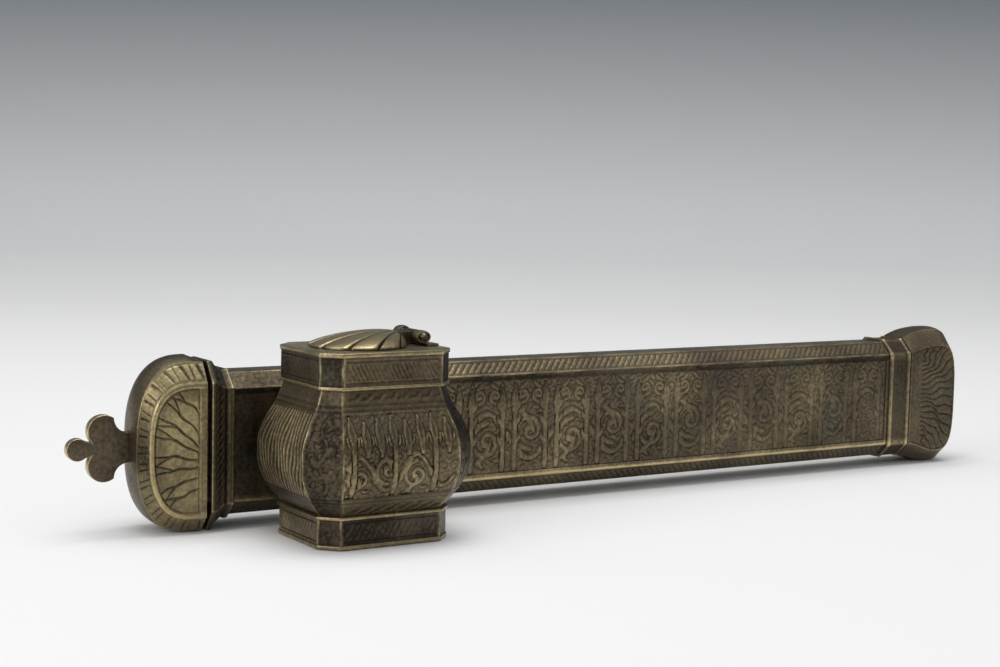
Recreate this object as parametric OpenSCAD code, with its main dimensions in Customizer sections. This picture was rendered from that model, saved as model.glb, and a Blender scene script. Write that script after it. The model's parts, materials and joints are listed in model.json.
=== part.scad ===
// Pen case with a hinged end lid and an inkwell fixed to its front, in sheet and cast brass.
// Millimetres. The origin is the middle of the inkwell's underside, +X runs along the case
// to its closed foot, +Y goes from the inkwell back to the case, and +Z is up.

/* [Case] */
// Length from the mouth to the outer edge of the foot collar
case_len = 230; // [190:1:260]
// Height of the case section
case_h = 34.8; // [31:0.2:39]
// Depth of the case section, front to back
case_d = 15; // [13:0.2:18]
// Leg of the four long chamfers
case_chamfer = 3.7; // [2.8:0.1:4.4]
// Thickness of the sheet brass
sheet_t = 1; // [0.8:0.05:1.2]
// Width of the collar round the mouth
mouth_collar_w = 6; // [5:0.25:8]
// Width of the collar before the foot
foot_collar_w = 8.4; // [6:0.2:11]
// Height of a collar's ridges above the case
ridge = 0.8; // [0.5:0.05:1.1]
// Thickness of the sleeve inside the mouth
sleeve_t = 0.8; // [0.6:0.05:1]
// How far the sleeve stands out of the mouth
sleeve_out = 2.8; // [2:0.1:3.4]

/* [Flared ends] */
// How far the ends stand out above and below the case
flare = 3.1; // [2.4:0.1:4]
// How far the mouth and lid stand out in front and behind
proud = 1.3; // [1:0.1:1.6]
// Height lost between an end's edge and its face
edge_drop = 5; // [4:0.1:6]
// Depth of the slope between an end's face and its edge
edge_slope = 3.8; // [3:0.1:4.4]
// Length of the lid without its thumb-piece
lid_len = 16; // [14:0.2:20]
// Crown of the lid's edge band
lid_crown = 1.4; // [0.6:0.1:1.8]
// Gap between the closed lid and the mouth
seam_gap = 0.25; // [0.2:0.05:0.4]
// Angle at which the lid rests ajar, in degrees
lid_ajar = 3.2; // [0:0.2:6]
// Length of the foot beyond its collar
foot_len = 20.5; // [17:0.5:24]

/* [Thumb-piece] */
// Reach of the thumb-piece beyond the lid
thumb_reach = 14.9; // [13:0.1:17]
// Thickness of the thumb-piece
thumb_t = 2.4; // [2:0.1:3]

/* [Inkwell] */
// Width of the inkwell's plinth and neck, along the case
ink_w = 34.2; // [30:0.2:38]
// Depth of the inkwell's plinth and neck
ink_d = 28.6; // [26:0.2:32]
// Height of the inkwell's top plate above the surface
ink_h = 45.5; // [42:0.5:50]
// Leg of the inkwell's upright corner chamfers
ink_chamfer = 4; // [3:0.1:5]
// Swell of the inkwell's belly at its front and ends
ink_swell = 5.3; // [4.4:0.1:6]
// Swell of the inkwell's belly at its back, against the case
ink_bulge = 3.7; // [3:0.1:4.4]
// Distance from the mouth to the middle of the inkwell
ink_from_mouth = 31.4; // [27:0.2:40]
// Radius of the inkwell's mouth
ink_mouth_r = 7; // [5:0.25:8]

/* [Shell lid] */
// Height of the shell above the top plate
shell_h = 4.2; // [3.6:0.1:4.8]
// Height of the shell's ribs
shell_rib = 0.5; // [0.2:0.05:0.7]

/* [Hinges and rivets] */
// Radius of the lid's hinge pin
lid_pin_r = 0.7; // [0.5:0.05:0.85]
// Radius of the shell's hinge pin
shell_pin_r = 0.6; // [0.5:0.05:0.8]
// Running clearance round a pin
pin_clear = 0.05; // [0.02:0.01:0.08]
// Radius of the rivets that hold the inkwell
rivet_r = 1.1; // [0.8:0.05:1.4]

/* [Hidden] */
$fn = 64;
// Shrinkage of a 45 degree chamfer's leg per unit of inset
chamfer_k = 2 - sqrt(2);
// Smallest gap between parts that do not move
fit = 0.02;

// Places of the case
x_mouth = -ink_from_mouth;
x_foot = x_mouth + case_len;
saddle_t = 0.5;
y_front = ink_d / 2 + ink_bulge + saddle_t;
y_mid = y_front + case_d / 2;
y_back = y_front + case_d;
z_mid = case_h / 2 + flare;
half_d = case_d / 2;
half_h = case_h / 2;
edge_h = half_h + flare;
face_h = edge_h - edge_drop;

// Places of the inkwell
floor_t = 1;
plinth_top = 6.9;
moulding_t = 0.8;
neck_h = 6.7;
top_t = 1.1;
z_top = ink_h;
z_neck = z_top - top_t - neck_h;
z_belly = plinth_top + moulding_t;
belly_h = z_neck - moulding_t - z_belly;
belly_flat = [0.354, 0.526];
z_saddle = z_belly + belly_h * (belly_flat[0] + belly_flat[1]) / 2;
saddle_w = 18;
rivet_gap = 11;

// Belly swell, as height share and share of the bulge
belly_steps = [
    [0, -0.09], [0.07, 0.24], [0.148, 0.58], [0.234, 0.81], [0.302, 0.93], [belly_flat[0], 1],
    [belly_flat[1], 1], [0.594, 0.92], [0.68, 0.73], [0.766, 0.47], [0.835, 0.23], [0.869, 0.15],
    [0.935, 0], [1, -0.135]
];

// Lid hinge, upright at the back of the seam
hinge_r = 1.6;
hinge_lift = 0.1;
hinge_x = x_mouth - seam_gap / 2;
hinge_y = y_back + proud + hinge_r + hinge_lift;
hinge_h = 22;
hinge_gap = 0.15;
hinge_mid_h = 8;
leaf_t = 0.8;
leaf_start = 1.9;
lid_leaf_w = 7.5;
leaf_rivet_r = 0.7;
leaf_rivet_z = 7.5;

// Shell lid and its hinge, along Y at the right of the top plate
shell_tip_in = 3.4;
shell_axis_in = 4.5;
shell_root_in = 3;
shell_r = 2.1;
tongue_r = 1.5;
shell_axis_x = ink_w / 2 - shell_axis_in;
shell_axis_z = z_top + shell_r + 0.15;
shell_root_x = shell_axis_x - shell_root_in;
shell_len = shell_root_x + ink_w / 2 - shell_tip_in;
shell_t = 0.9;
shell_seat = 0.05;
shell_ribs = 9;
shell_turn = 78;
shell_root = 0.12;
tongue_w = 5.8;
tongue_len = 5;
knuckle_w = 3.2;
knuckle_gap = 0.15;
hinge_plate_t = 0.6;
plate_rivet_r = 0.5;
plate_rivet_in = 2.4;
mouth_x = shell_root_x - shell_len / 2;

brass = [0.47, 0.38, 0.22];
pale_brass = [0.6, 0.5, 0.3];
dark_brass = [0.3, 0.23, 0.14];

// General shapes

function mix(a, b, t) = a + (b - a) * t;
function ease(t) = t * t * (3 - 2 * t);
function quick(t) = 1 - pow(1 - t, 2.2);

// Eight-sided outline from its half sizes and the legs of its corner chamfers
function eight(half_1, half_2, leg_1, leg_2) = [
    [-half_1, half_2 - leg_2], [-half_1, leg_2 - half_2], [leg_1 - half_1, -half_2],
    [half_1 - leg_1, -half_2], [half_1, leg_2 - half_2], [half_1, half_2 - leg_2],
    [half_1 - leg_1, half_2], [leg_1 - half_1, half_2]
];

// Solid through a list of outlines that all have the same number of points
module loft(rings) {
    n = len(rings[0]);
    last = (len(rings) - 1) * n;
    points = [for (ring = rings) each ring];
    sides = [
        for (i = [0 : len(rings) - 2], j = [0 : n - 1])
        let (a = i * n + j, b = i * n + (j + 1) % n)
        each [[a, a + n, b], [b, a + n, b + n]]
    ];
    start = [for (j = [0 : n - 1]) j];
    end = [for (j = [n - 1 : -1 : 0]) last + j];
    polyhedron(concat(points), concat([start], sides, [end]), convexity = 6);
}

// Straight prism along the case from a section drawn in Y and Z
module along_case(x, length) {
    translate([x, y_mid, z_mid])
        rotate([90, 0, 90])
            linear_extrude(length)
                children();
}

module case_section(inset) {
    leg = case_chamfer - chamfer_k * inset;
    polygon(eight(half_d - inset, half_h - inset, leg, leg));
}

module ink_section(outset) {
    leg = ink_chamfer + chamfer_k * outset;
    polygon(eight(ink_w / 2 + outset, ink_d / 2 + outset, leg, leg));
}

// Rivet along +Z from the outer face of what it holds, with a low head at each end
module rivet(r, grip) {
    head_r = 1.8 * r;
    head_h = 0.6 * r;
    cylinder(r = r, h = grip);
    translate([0, 0, grip])
        cylinder(r1 = head_r, r2 = 0.6 * head_r, h = head_h);
    translate([0, 0, -head_h])
        cylinder(r1 = 0.6 * head_r, r2 = head_r, h = head_h);
}

// Turns what rides on the lid from closed to its ajar rest
module lid_pose() {
    translate([hinge_x, hinge_y, 0])
        rotate([0, 0, -lid_ajar])
            translate([-hinge_x, -hinge_y, 0])
                children();
}

// Case

module case_tube() {
    color(brass)
        difference() {
            along_case(x_mouth, case_len) case_section(0);
            along_case(x_mouth - 1, case_len + 2) case_section(sheet_t);
            inkwell_rivet_holes();
            case_leaf_rivet_holes();
        }
}

// Collar outline at one place: how far it has opened to the lip, and its height above the case
function collar_ring(x, open, rise) =
    let (
        front = half_d + mix(rise, proud, open),
        back = half_d + proud,
        top = half_h + mix(rise, flare, open),
        leg_h = mix(case_chamfer + chamfer_k * rise, edge_drop, open),
        flat = front - mix(case_chamfer + chamfer_k * rise, edge_slope, open)
    )
    [for (p = [
        [-front, top - leg_h], [-front, leg_h - top], [-flat, -top], [flat, -top],
        [back, leg_h - top], [back, top - leg_h], [flat, top], [-flat, top]
    ]) [x, y_mid + p[0], z_mid + p[1]]];

module mouth_collar() {
    steps = [[0, 1], [0.2, 1], [0.38, 0.4], [0.55, 0.1], [0.75, 0], [1, 0]];
    color(pale_brass)
        difference() {
            loft([for (s = steps) collar_ring(x_mouth + s[0] * mouth_collar_w, s[1], ridge)]);
            along_case(x_mouth - 1, mouth_collar_w + 2) case_section(0);
            case_leaf_rivet_holes();
        }
}

module mouth_sleeve() {
    sleeve_in = 12;
    color(dark_brass)
        difference() {
            along_case(x_mouth - sleeve_out, sleeve_out + sleeve_in) case_section(sheet_t);
            along_case(x_mouth - sleeve_out - 1, sleeve_out + sleeve_in + 2)
                case_section(sheet_t + sleeve_t);
            case_leaf_rivet_holes();
        }
}

module foot_collar() {
    ridge_w = foot_collar_w / 6;
    color(pale_brass)
        difference() {
            union() {
                for (x = [0, foot_collar_w - ridge_w])
                    along_case(x_foot - foot_collar_w + x, ridge_w) case_section(-ridge);
                along_case(x_foot - foot_collar_w, foot_collar_w) case_section(-ridge / 2);
            }
            along_case(x_foot - foot_collar_w - 1, foot_collar_w + 2) case_section(0);
        }
}

// Flared ends

// Upright outline of an end: out from its root in run_n steps, then a squared half round to the
// other side. A lead carries it straight back past the root, for the hollow
function end_outline(x, way, lead, run, run_n, square, round, root, top, bottom, low) =
    let (arc_n = 24)
    concat(
        lead > 0 ? [[x - way * lead, -low]] : [],
        [for (i = [0 : run_n]) let (t = i / run_n)
            [x + way * run * t, -mix(low, bottom, ease(t))]],
        [for (i = [1 : arc_n - 1]) let (
                a = -90 + 180 * i / arc_n,
                out = pow(cos(a), 2 / square),
                up = sign(a) * pow(abs(sin(a)), 2 / square)
            )
            [x + way * (run + round * out), up * (a < 0 ? bottom : top)]],
        [for (i = [run_n : -1 : 0]) let (t = i / run_n)
            [x + way * run * t, mix(root, top, quick(t))]],
        lead > 0 ? [[x - way * lead, root]] : []
    );

function end_ring(outline, y, way) = [
    for (i = [0 : len(outline) - 1])
    let (p = outline[way > 0 ? len(outline) - 1 - i : i])
    [p[0], y, z_mid + p[1]]
];

// Levels of an end from front to back: its face, its edge, the crown of its band and back again
function end_levels(face_y, edge_y, face, edge, crown) = [
    [face_y, face], [edge_y, edge],
    for (t = [0.25, 0.5, 0.75])
        [mix(edge_y, 2 * y_mid - edge_y, t), edge + crown * (1 - pow(2 * t - 1, 2))],
    [2 * y_mid - edge_y, edge], [2 * y_mid - face_y, face]
];

function end_rings(levels, x, way, lead, run, run_n, square) = [
    for (level = levels)
    let (v = level[1])
    end_ring(end_outline(x, way, lead, run, run_n, square, v[0], v[1], v[2], v[3], v[4]), level[0], way)
];

hollow_lead = 1;

// Strip between the edges of an end's two plates, with its section carried along the outline
module end_band(levels, x, way, run, run_n, square) {
    middle = [for (i = [1 : len(levels) - 2]) levels[i]];
    wall = [1, 1, 1, 1, 1] * sheet_t;
    outer = end_rings(middle, x, way, 0, run, run_n, square);
    inner = end_rings([for (m = middle) [m[0], m[1] - wall]], x, way, 0, run, run_n, square);
    last = len(middle) - 1;
    loft([
        for (i = [0 : len(outer[0]) - 1])
        concat([for (k = [0 : last]) outer[k][i]], [for (k = [last : -1 : 0]) inner[k][i]])
    ]);
}

// Lid values: [round, root, top, bottom] of its face, its edge and its crown
lid_run = 3;
lid_square = 2.6;
lid_lift = 0.05;
lid_drop = 3.8;
lid_x = x_mouth - seam_gap;
lid_face_y = y_front - proud;
lid_edge_y = lid_face_y + edge_slope;
lid_face = [lid_len - lid_run - 2, face_h, face_h, edge_h - lid_drop, edge_h - lid_drop];
lid_low = edge_h - lid_lift - 0.1;
lid_edge = [lid_len - lid_run, edge_h - 0.2, edge_h - 0.2, lid_low, lid_low];
lid_bow = [0.5 * lid_crown, 0.2, lid_crown, 0.1, 0.1];

module lid_hollow() {
    t = sheet_t;
    face = lid_face - [t, 0.5 * t, 0.5 * t, 0.5 * t, 0.5 * t];
    edge = lid_edge - [t, t, t, t, t];
    loft(end_rings(end_levels(lid_face_y + t, lid_edge_y + 0.4 * t, face, edge, lid_bow),
        lid_x + hollow_lead, -1, 0, lid_run + hollow_lead, 1, lid_square));
}

function lid_levels() = end_levels(lid_face_y, lid_edge_y, lid_face, lid_edge, lid_bow);

module lid_plate_body() {
    levels = lid_levels();
    difference() {
        loft(end_rings([levels[0], levels[1]], lid_x, -1, 0, lid_run, 1, lid_square));
        lid_hollow();
    }
}

module lid_front_plate() {
    color(brass)
        lid_pose()
            lid_plate_body();
}

module lid_back_plate() {
    color(brass)
        lid_pose()
            difference() {
                translate([0, 2 * y_mid, 0])
                    mirror([0, 1, 0])
                        lid_plate_body();
                lid_leaf_rivet_holes();
            }
}

module lid_band() {
    color(dark_brass)
        lid_pose()
            difference() {
                end_band(lid_levels(), lid_x, -1, lid_run, 1, lid_square);
                thumb_tang(fit);
            }
}

// Foot values, in the same order as the lid's
foot_run = 11.5;
foot_square = 3.4;
foot_run_n = 5;
foot_drop = 3.7;
foot_face_y = y_front - ridge;
foot_edge_y = foot_face_y + case_chamfer + chamfer_k * ridge;
foot_root = half_h - case_chamfer + ridge * (1 - chamfer_k);
foot_face = [foot_len - foot_run - 1.4, foot_root, edge_h - foot_drop - 0.5, edge_h - foot_drop, foot_root];
foot_edge = [foot_len - foot_run, half_h + ridge, edge_h + 0.1, edge_h, half_h + ridge];
foot_bow = [0.6, 0.1, 0.7, 0, 0.1];

function foot_levels() = end_levels(foot_face_y, foot_edge_y, foot_face, foot_edge, foot_bow);

module foot_hollow() {
    t = sheet_t;
    face = foot_face - [t, 0.5 * t, 0.5 * t, 0.5 * t, 0.5 * t];
    edge = foot_edge - [t, t, t, t, t];
    loft(end_rings(end_levels(foot_face_y + t, foot_edge_y + 0.4 * t, face, edge, foot_bow),
        x_foot, 1, hollow_lead, foot_run, foot_run_n, foot_square));
}

module foot_plate_body() {
    levels = foot_levels();
    difference() {
        loft(end_rings([levels[0], levels[1]], x_foot, 1, 0, foot_run, foot_run_n, foot_square));
        foot_hollow();
    }
}

module foot_front_plate() {
    color(brass)
        foot_plate_body();
}

module foot_back_plate() {
    color(brass)
        translate([0, 2 * y_mid, 0])
            mirror([0, 1, 0])
                foot_plate_body();
}

module foot_band() {
    color(dark_brass)
        end_band(foot_levels(), x_foot, 1, foot_run, foot_run_n, foot_square);
}

// Thumb-piece

thumb_neck = 3.6;
thumb_x = lid_x - lid_len - lid_bow[0];

// Outline in reach from the lid and height: three lobes on a waisted stem
module thumb_outline() {
    lobe_r = 0.262 * thumb_reach;
    lobe_at = [0.403 * thumb_reach, 0.275 * thumb_reach];
    tip_r = 0.18 * thumb_reach;
    cusp = [0.24 * thumb_reach, 0.5 * thumb_reach];
    rise = cusp[1] - thumb_neck;
    waist_r = (cusp[0] * cusp[0] + rise * rise) / (2 * rise);
    for (side = [-1, 1])
        translate([lobe_at[0], side * lobe_at[1]])
            circle(lobe_r);
    translate([thumb_reach - tip_r, 0])
        circle(tip_r);
    notch = [0.55 * thumb_reach, 0.5 * tip_r];
    tip_root = [thumb_reach - 1.5 * tip_r, 0.8 * tip_r];
    core = [[cusp[0] - 0.1, lobe_at[1]], lobe_at, notch, tip_root];
    polygon(concat(core, [for (i = [3 : -1 : 0]) [core[i][0], -core[i][1]]]));
    difference() {
        translate([0, -cusp[1]])
            square([cusp[0], 2 * cusp[1]]);
        for (side = [-1, 1])
            translate([0, side * (thumb_neck + waist_r)])
                circle(waist_r);
    }
}

// Tang that enters the slot in the lid's band
module thumb_tang(gap) {
    tang_h = 2 * thumb_neck - 0.8;
    deep = gap > 0 ? 1 : 0;
    translate([thumb_x - deep, y_mid - thumb_t / 2 - gap, z_mid - tang_h / 2 - gap])
        cube([sheet_t + 1.2 + 2 * deep, thumb_t + 2 * gap, tang_h + 2 * gap]);
}

module thumb_piece() {
    color(dark_brass)
        lid_pose() {
            translate([thumb_x, y_mid + thumb_t / 2, z_mid])
                rotate([90, 0, 0])
                    linear_extrude(thumb_t)
                        mirror([1, 0])
                            thumb_outline();
            thumb_tang(0);
        }
}

// Lid hinge

// One leaf lying on the back, reaching along +X from the axis, with knuckles at the given heights
module hinge_leaf(width, spans) {
    translate([leaf_start, -hinge_r - hinge_lift, z_mid - hinge_h / 2])
        cube([width - leaf_start, leaf_t, hinge_h]);
    for (span = spans)
        translate([0, 0, z_mid + span[0]])
            difference() {
                union() {
                    cylinder(r = hinge_r, h = span[1] - span[0]);
                    translate([0.2, -hinge_r - hinge_lift, 0])
                        cube([leaf_start, leaf_t, span[1] - span[0]]);
                }
                translate([0, 0, -1])
                    cylinder(r = lid_pin_r + pin_clear, h = hinge_h);
            }
}

case_leaf_w = mouth_collar_w - 0.4;
case_leaf_x = x_mouth + mix(leaf_start, case_leaf_w, 0.5);
lid_leaf_x = hinge_x - mix(leaf_start, lid_leaf_w, 0.6);
mid_span = [[-hinge_mid_h / 2, hinge_mid_h / 2]];
end_spans = [
    [-hinge_h / 2, -hinge_mid_h / 2 - hinge_gap], [hinge_mid_h / 2 + hinge_gap, hinge_h / 2]
];

module case_hinge_leaf() {
    color(brass)
        difference() {
            translate([hinge_x, hinge_y, 0])
                hinge_leaf(case_leaf_w, end_spans);
            case_leaf_rivet_holes();
        }
}

module lid_hinge_leaf() {
    color(brass)
        lid_pose()
            difference() {
                translate([hinge_x, hinge_y, 0])
                    mirror([1, 0, 0])
                        hinge_leaf(lid_leaf_w, mid_span);
                lid_leaf_rivet_holes();
            }
}

module leaf_rivet_places(x) {
    for (side = [-1, 1])
        translate([x, y_back + proud + leaf_t, z_mid + side * leaf_rivet_z])
            rotate([90, 0, 0])
                children();
}

module case_leaf_rivet_holes() {
    leaf_rivet_places(case_leaf_x)
        translate([0, 0, -1])
            cylinder(r = leaf_rivet_r + fit, h = half_d);
}

module lid_leaf_rivet_holes() {
    leaf_rivet_places(lid_leaf_x)
        translate([0, 0, -1])
            cylinder(r = leaf_rivet_r + fit, h = half_d);
}

module case_leaf_rivets() {
    color(pale_brass)
        leaf_rivet_places(case_leaf_x)
            rivet(leaf_rivet_r, leaf_t + proud + sheet_t + sleeve_t);
}

module lid_leaf_rivets() {
    color(pale_brass)
        lid_pose()
            leaf_rivet_places(lid_leaf_x)
                rivet(leaf_rivet_r, leaf_t + sheet_t);
}

module lid_hinge_pin() {
    head_h = 0.8;
    color(pale_brass)
        translate([hinge_x, hinge_y, z_mid - hinge_h / 2]) {
            cylinder(r = lid_pin_r, h = hinge_h);
            translate([0, 0, hinge_h])
                cylinder(r1 = 1.8 * lid_pin_r, r2 = lid_pin_r, h = head_h);
            translate([0, 0, -head_h])
                cylinder(r1 = lid_pin_r, r2 = 1.8 * lid_pin_r, h = head_h);
        }
}

// Inkwell

module inkwell_rivet_places() {
    for (side = [-1, 1])
        translate([side * rivet_gap / 2, y_front - saddle_t - sheet_t, z_saddle])
            rotate([-90, 0, 0])
                children();
}

module inkwell_rivet_holes() {
    inkwell_rivet_places()
        translate([0, 0, -1])
            cylinder(r = rivet_r + fit, h = half_d);
}

module inkwell_rivets() {
    color(pale_brass)
        inkwell_rivet_places()
            rivet(rivet_r, saddle_t + 2 * sheet_t);
}

module inkwell_saddle() {
    saddle_h = belly_h * (belly_flat[1] - belly_flat[0]);
    color(dark_brass)
        difference() {
            translate([-saddle_w / 2, y_front - saddle_t, z_saddle - saddle_h / 2])
                cube([saddle_w, saddle_t, saddle_h]);
            inkwell_rivet_holes();
        }
}

// Upright eight-sided wall or plate between two heights
module ink_band(z, height, outset, inset) {
    translate([0, 0, z])
        linear_extrude(height)
            difference() {
                ink_section(outset);
                if (inset > 0)
                    ink_section(-inset);
            }
}

module inkwell_floor() {
    color(pale_brass)
        ink_band(0, floor_t, 0.3, 0);
}

module inkwell_plinth() {
    color(brass)
        ink_band(floor_t, plinth_top - floor_t, 0, sheet_t);
}

module inkwell_lower_moulding() {
    color(pale_brass)
        ink_band(plinth_top, moulding_t, 0.5, 1.4 * sheet_t);
}

function belly_ring(step, inset) =
    let (
        out = step[1] * ink_swell - inset,
        back_out = step[1] * ink_bulge - inset,
        leg = ink_chamfer + chamfer_k * out,
        back_leg = ink_chamfer + chamfer_k * back_out,
        front = eight(ink_w / 2 + out, ink_d / 2 + out, leg, leg),
        back = eight(ink_w / 2 + out, ink_d / 2 + back_out, back_leg, back_leg)
    )
    [
        for (i = [0 : 7])
        let (p = front[i][1] < 0 ? front[i] : back[i])
        [p[0], p[1], z_belly + step[0] * belly_h]
    ];

module inkwell_belly() {
    last = len(belly_steps) - 1;
    hollow = [
        for (i = [0 : last])
        [belly_steps[i][0] + (i == 0 ? -0.05 : i == last ? 0.05 : 0), belly_steps[i][1]]
    ];
    color(brass)
        difference() {
            loft([for (s = belly_steps) belly_ring(s, 0)]);
            loft([for (s = hollow) belly_ring(s, sheet_t)]);
            inkwell_rivet_holes();
        }
}

module inkwell_upper_moulding() {
    color(pale_brass)
        ink_band(z_neck - moulding_t, moulding_t, 0.4, 1.5 * sheet_t);
}

module inkwell_neck() {
    color(brass)
        ink_band(z_neck, neck_h, 0, sheet_t);
}

module inkwell_top_plate() {
    color(pale_brass)
        difference() {
            ink_band(z_top - top_t, top_t, 0.3, 0);
            translate([mouth_x, 0, z_top - top_t - 1])
                cylinder(r = ink_mouth_r, h = top_t + 2);
            shell_plate_rivet_places()
                translate([0, 0, -top_t - 1])
                    cylinder(r = plate_rivet_r + fit, h = top_t + 3);
        }
}

// Shell lid and its hinge

module across_inkwell(y, r, length) {
    translate([shell_axis_x, y, shell_axis_z])
        rotate([-90, 0, 0])
            cylinder(r = r, h = length);
}

module shell_bore() {
    translate([shell_axis_x, -ink_d / 2, shell_axis_z])
        rotate([-90, 0, 0])
            cylinder(r = shell_pin_r + pin_clear, h = ink_d);
}

module shell_plate_rivet_places() {
    for (side = [-1, 1])
        translate([shell_axis_x + plate_rivet_in, side * tongue_w / 3, z_top])
            children();
}

module shell_hinge_plate() {
    inner = tongue_w / 2 + knuckle_gap;
    outer = inner + knuckle_w;
    end = ink_w / 2 - 0.4;
    color(brass)
        difference() {
            union() {
                translate([shell_axis_x + 0.9, -outer, z_top])
                    cube([end - shell_axis_x - 0.9, 2 * outer, hinge_plate_t]);
                for (y = [inner, -outer]) {
                    across_inkwell(y, shell_r, knuckle_w);
                    translate([shell_axis_x, y, z_top])
                        cube([1.2, knuckle_w, 0.6 * shell_r]);
                }
            }
            shell_bore();
            // Room for the tongue's knuckle to turn
            translate([shell_axis_x, -inner, shell_axis_z])
                rotate([-90, 0, 0])
                    cylinder(r = tongue_r + 0.4, h = 2 * inner);
            shell_plate_rivet_places()
                translate([0, 0, -1])
                    cylinder(r = plate_rivet_r + fit, h = hinge_plate_t + 2);
        }
}

module shell_plate_rivets() {
    color(pale_brass)
        shell_plate_rivet_places()
            translate([0, 0, -top_t])
                rivet(plate_rivet_r, top_t + hinge_plate_t);
}

module shell_hinge_pin() {
    half = tongue_w / 2 + knuckle_gap + knuckle_w;
    head_h = 0.6;
    color(pale_brass)
        translate([shell_axis_x, -half, shell_axis_z])
            rotate([-90, 0, 0]) {
                cylinder(r = shell_pin_r, h = 2 * half);
                translate([0, 0, 2 * half])
                    cylinder(r1 = 1.8 * shell_pin_r, r2 = shell_pin_r, h = head_h);
                translate([0, 0, -head_h])
                    cylinder(r1 = shell_pin_r, r2 = 1.8 * shell_pin_r, h = head_h);
            }
}

module tongue_bar(gap) {
    translate([shell_root_x - tongue_len, -tongue_w / 2 - gap, z_top + 0.6])
        cube([shell_axis_x - shell_root_x + tongue_len, tongue_w + 2 * gap, 2.7 + gap]);
}

module shell_tongue() {
    color(dark_brass)
        difference() {
            union() {
                tongue_bar(0);
                across_inkwell(-tongue_w / 2, tongue_r, tongue_w);
            }
            shell_bore();
        }
}

// Height of the shell's outer face at a share of its length and an angle from its middle rib
function shell_top(share, angle) =
    let (
        dome = pow(1 - pow(share, 2), 0.8) * (1 - 0.3 * pow(1 - share, 6)),
        rib = 0.5 + 0.5 * cos(180 * shell_ribs * angle / shell_turn)
    )
    0.55 + (shell_h - 0.55) * dome * sqrt(cos(angle)) + shell_rib * share * rib;

function shell_point(share, angle, z) =
    let (reach = share * shell_len * cos(angle))
    [shell_root_x - reach * cos(angle), reach * sin(angle), z_top + z];

module shell_lid() {
    across = 4 * shell_ribs;
    out = 10;
    row = out + 1;
    under = (across + 1) * row;
    shares = [for (j = [0 : out]) mix(shell_root, 1, 1 - pow(1 - j / out, 1.4))];
    angles = [for (i = [0 : across]) mix(-shell_turn, shell_turn, i / across)];
    top = [for (a = angles, s = shares) shell_point(s, a, shell_top(s, a))];
    bottom = [for (a = angles, s = shares)
        shell_point(s, a, max(shell_seat, shell_top(s, a) - shell_t))];
    skin = [
        for (i = [0 : across - 1], j = [0 : out - 1])
        let (a = i * row + j, b = a + row)
        each [
            [a, a + 1, b], [b, a + 1, b + 1],
            [under + a, under + b, under + a + 1], [under + b, under + b + 1, under + a + 1]
        ]
    ];
    ends = [
        for (i = [0 : across - 1], j = [0, out])
        let (a = i * row + j, b = a + row)
        each j == 0
            ? [[a, b, under + a], [b, under + b, under + a]]
            : [[a, under + a, b], [b, under + a, under + b]]
    ];
    flanks = [
        for (j = [0 : out - 1], i = [0, across])
        let (a = i * row + j, b = a + 1)
        each i == 0
            ? [[a, under + a, b], [b, under + a, under + b]]
            : [[a, b, under + a], [b, under + b, under + a]]
    ];
    color(pale_brass)
        difference() {
            polyhedron(concat(top, bottom), concat(skin, ends, flanks), convexity = 6);
            tongue_bar(fit);
        }
}

case_tube();
mouth_collar();
mouth_sleeve();
foot_collar();
foot_front_plate();
foot_band();
foot_back_plate();
lid_front_plate();
lid_band();
lid_back_plate();
thumb_piece();
case_hinge_leaf();
case_leaf_rivets();
lid_hinge_leaf();
lid_leaf_rivets();
lid_hinge_pin();
inkwell_saddle();
inkwell_rivets();
inkwell_floor();
inkwell_plinth();
inkwell_lower_moulding();
inkwell_belly();
inkwell_upper_moulding();
inkwell_neck();
inkwell_top_plate();
shell_hinge_plate();
shell_plate_rivets();
shell_hinge_pin();
shell_tongue();
shell_lid();
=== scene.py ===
import json
import math

import bmesh
import bpy
import numpy as np
from mathutils import Matrix, Vector


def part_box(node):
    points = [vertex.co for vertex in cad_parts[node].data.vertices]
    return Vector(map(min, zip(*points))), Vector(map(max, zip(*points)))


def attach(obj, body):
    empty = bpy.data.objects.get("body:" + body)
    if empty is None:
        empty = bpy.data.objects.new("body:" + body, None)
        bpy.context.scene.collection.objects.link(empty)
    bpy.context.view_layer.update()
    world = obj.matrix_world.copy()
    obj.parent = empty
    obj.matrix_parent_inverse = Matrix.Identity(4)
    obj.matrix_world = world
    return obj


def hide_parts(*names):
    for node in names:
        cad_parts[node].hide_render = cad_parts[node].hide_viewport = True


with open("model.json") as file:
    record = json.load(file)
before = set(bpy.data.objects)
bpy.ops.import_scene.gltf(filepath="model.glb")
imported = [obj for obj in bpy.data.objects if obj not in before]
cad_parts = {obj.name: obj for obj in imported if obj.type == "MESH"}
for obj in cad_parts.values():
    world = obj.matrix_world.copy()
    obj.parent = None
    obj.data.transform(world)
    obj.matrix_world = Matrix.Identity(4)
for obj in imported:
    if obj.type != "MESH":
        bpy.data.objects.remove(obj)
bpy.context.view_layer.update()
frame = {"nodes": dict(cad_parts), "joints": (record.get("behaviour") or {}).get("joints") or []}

# Case tube: sheet brass folded to a long flat tube with eight sides and soldered along one edge.
# Slanting strokes are cut along its four chamfers, and a panel is chased front and back, which
# leaves a narrow plain strip above and below it.

MM = 0.001


def box_mm(node):
    """Lower and upper corner of a CAD node in mm."""
    return (np.array(corner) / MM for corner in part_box(node))


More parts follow.
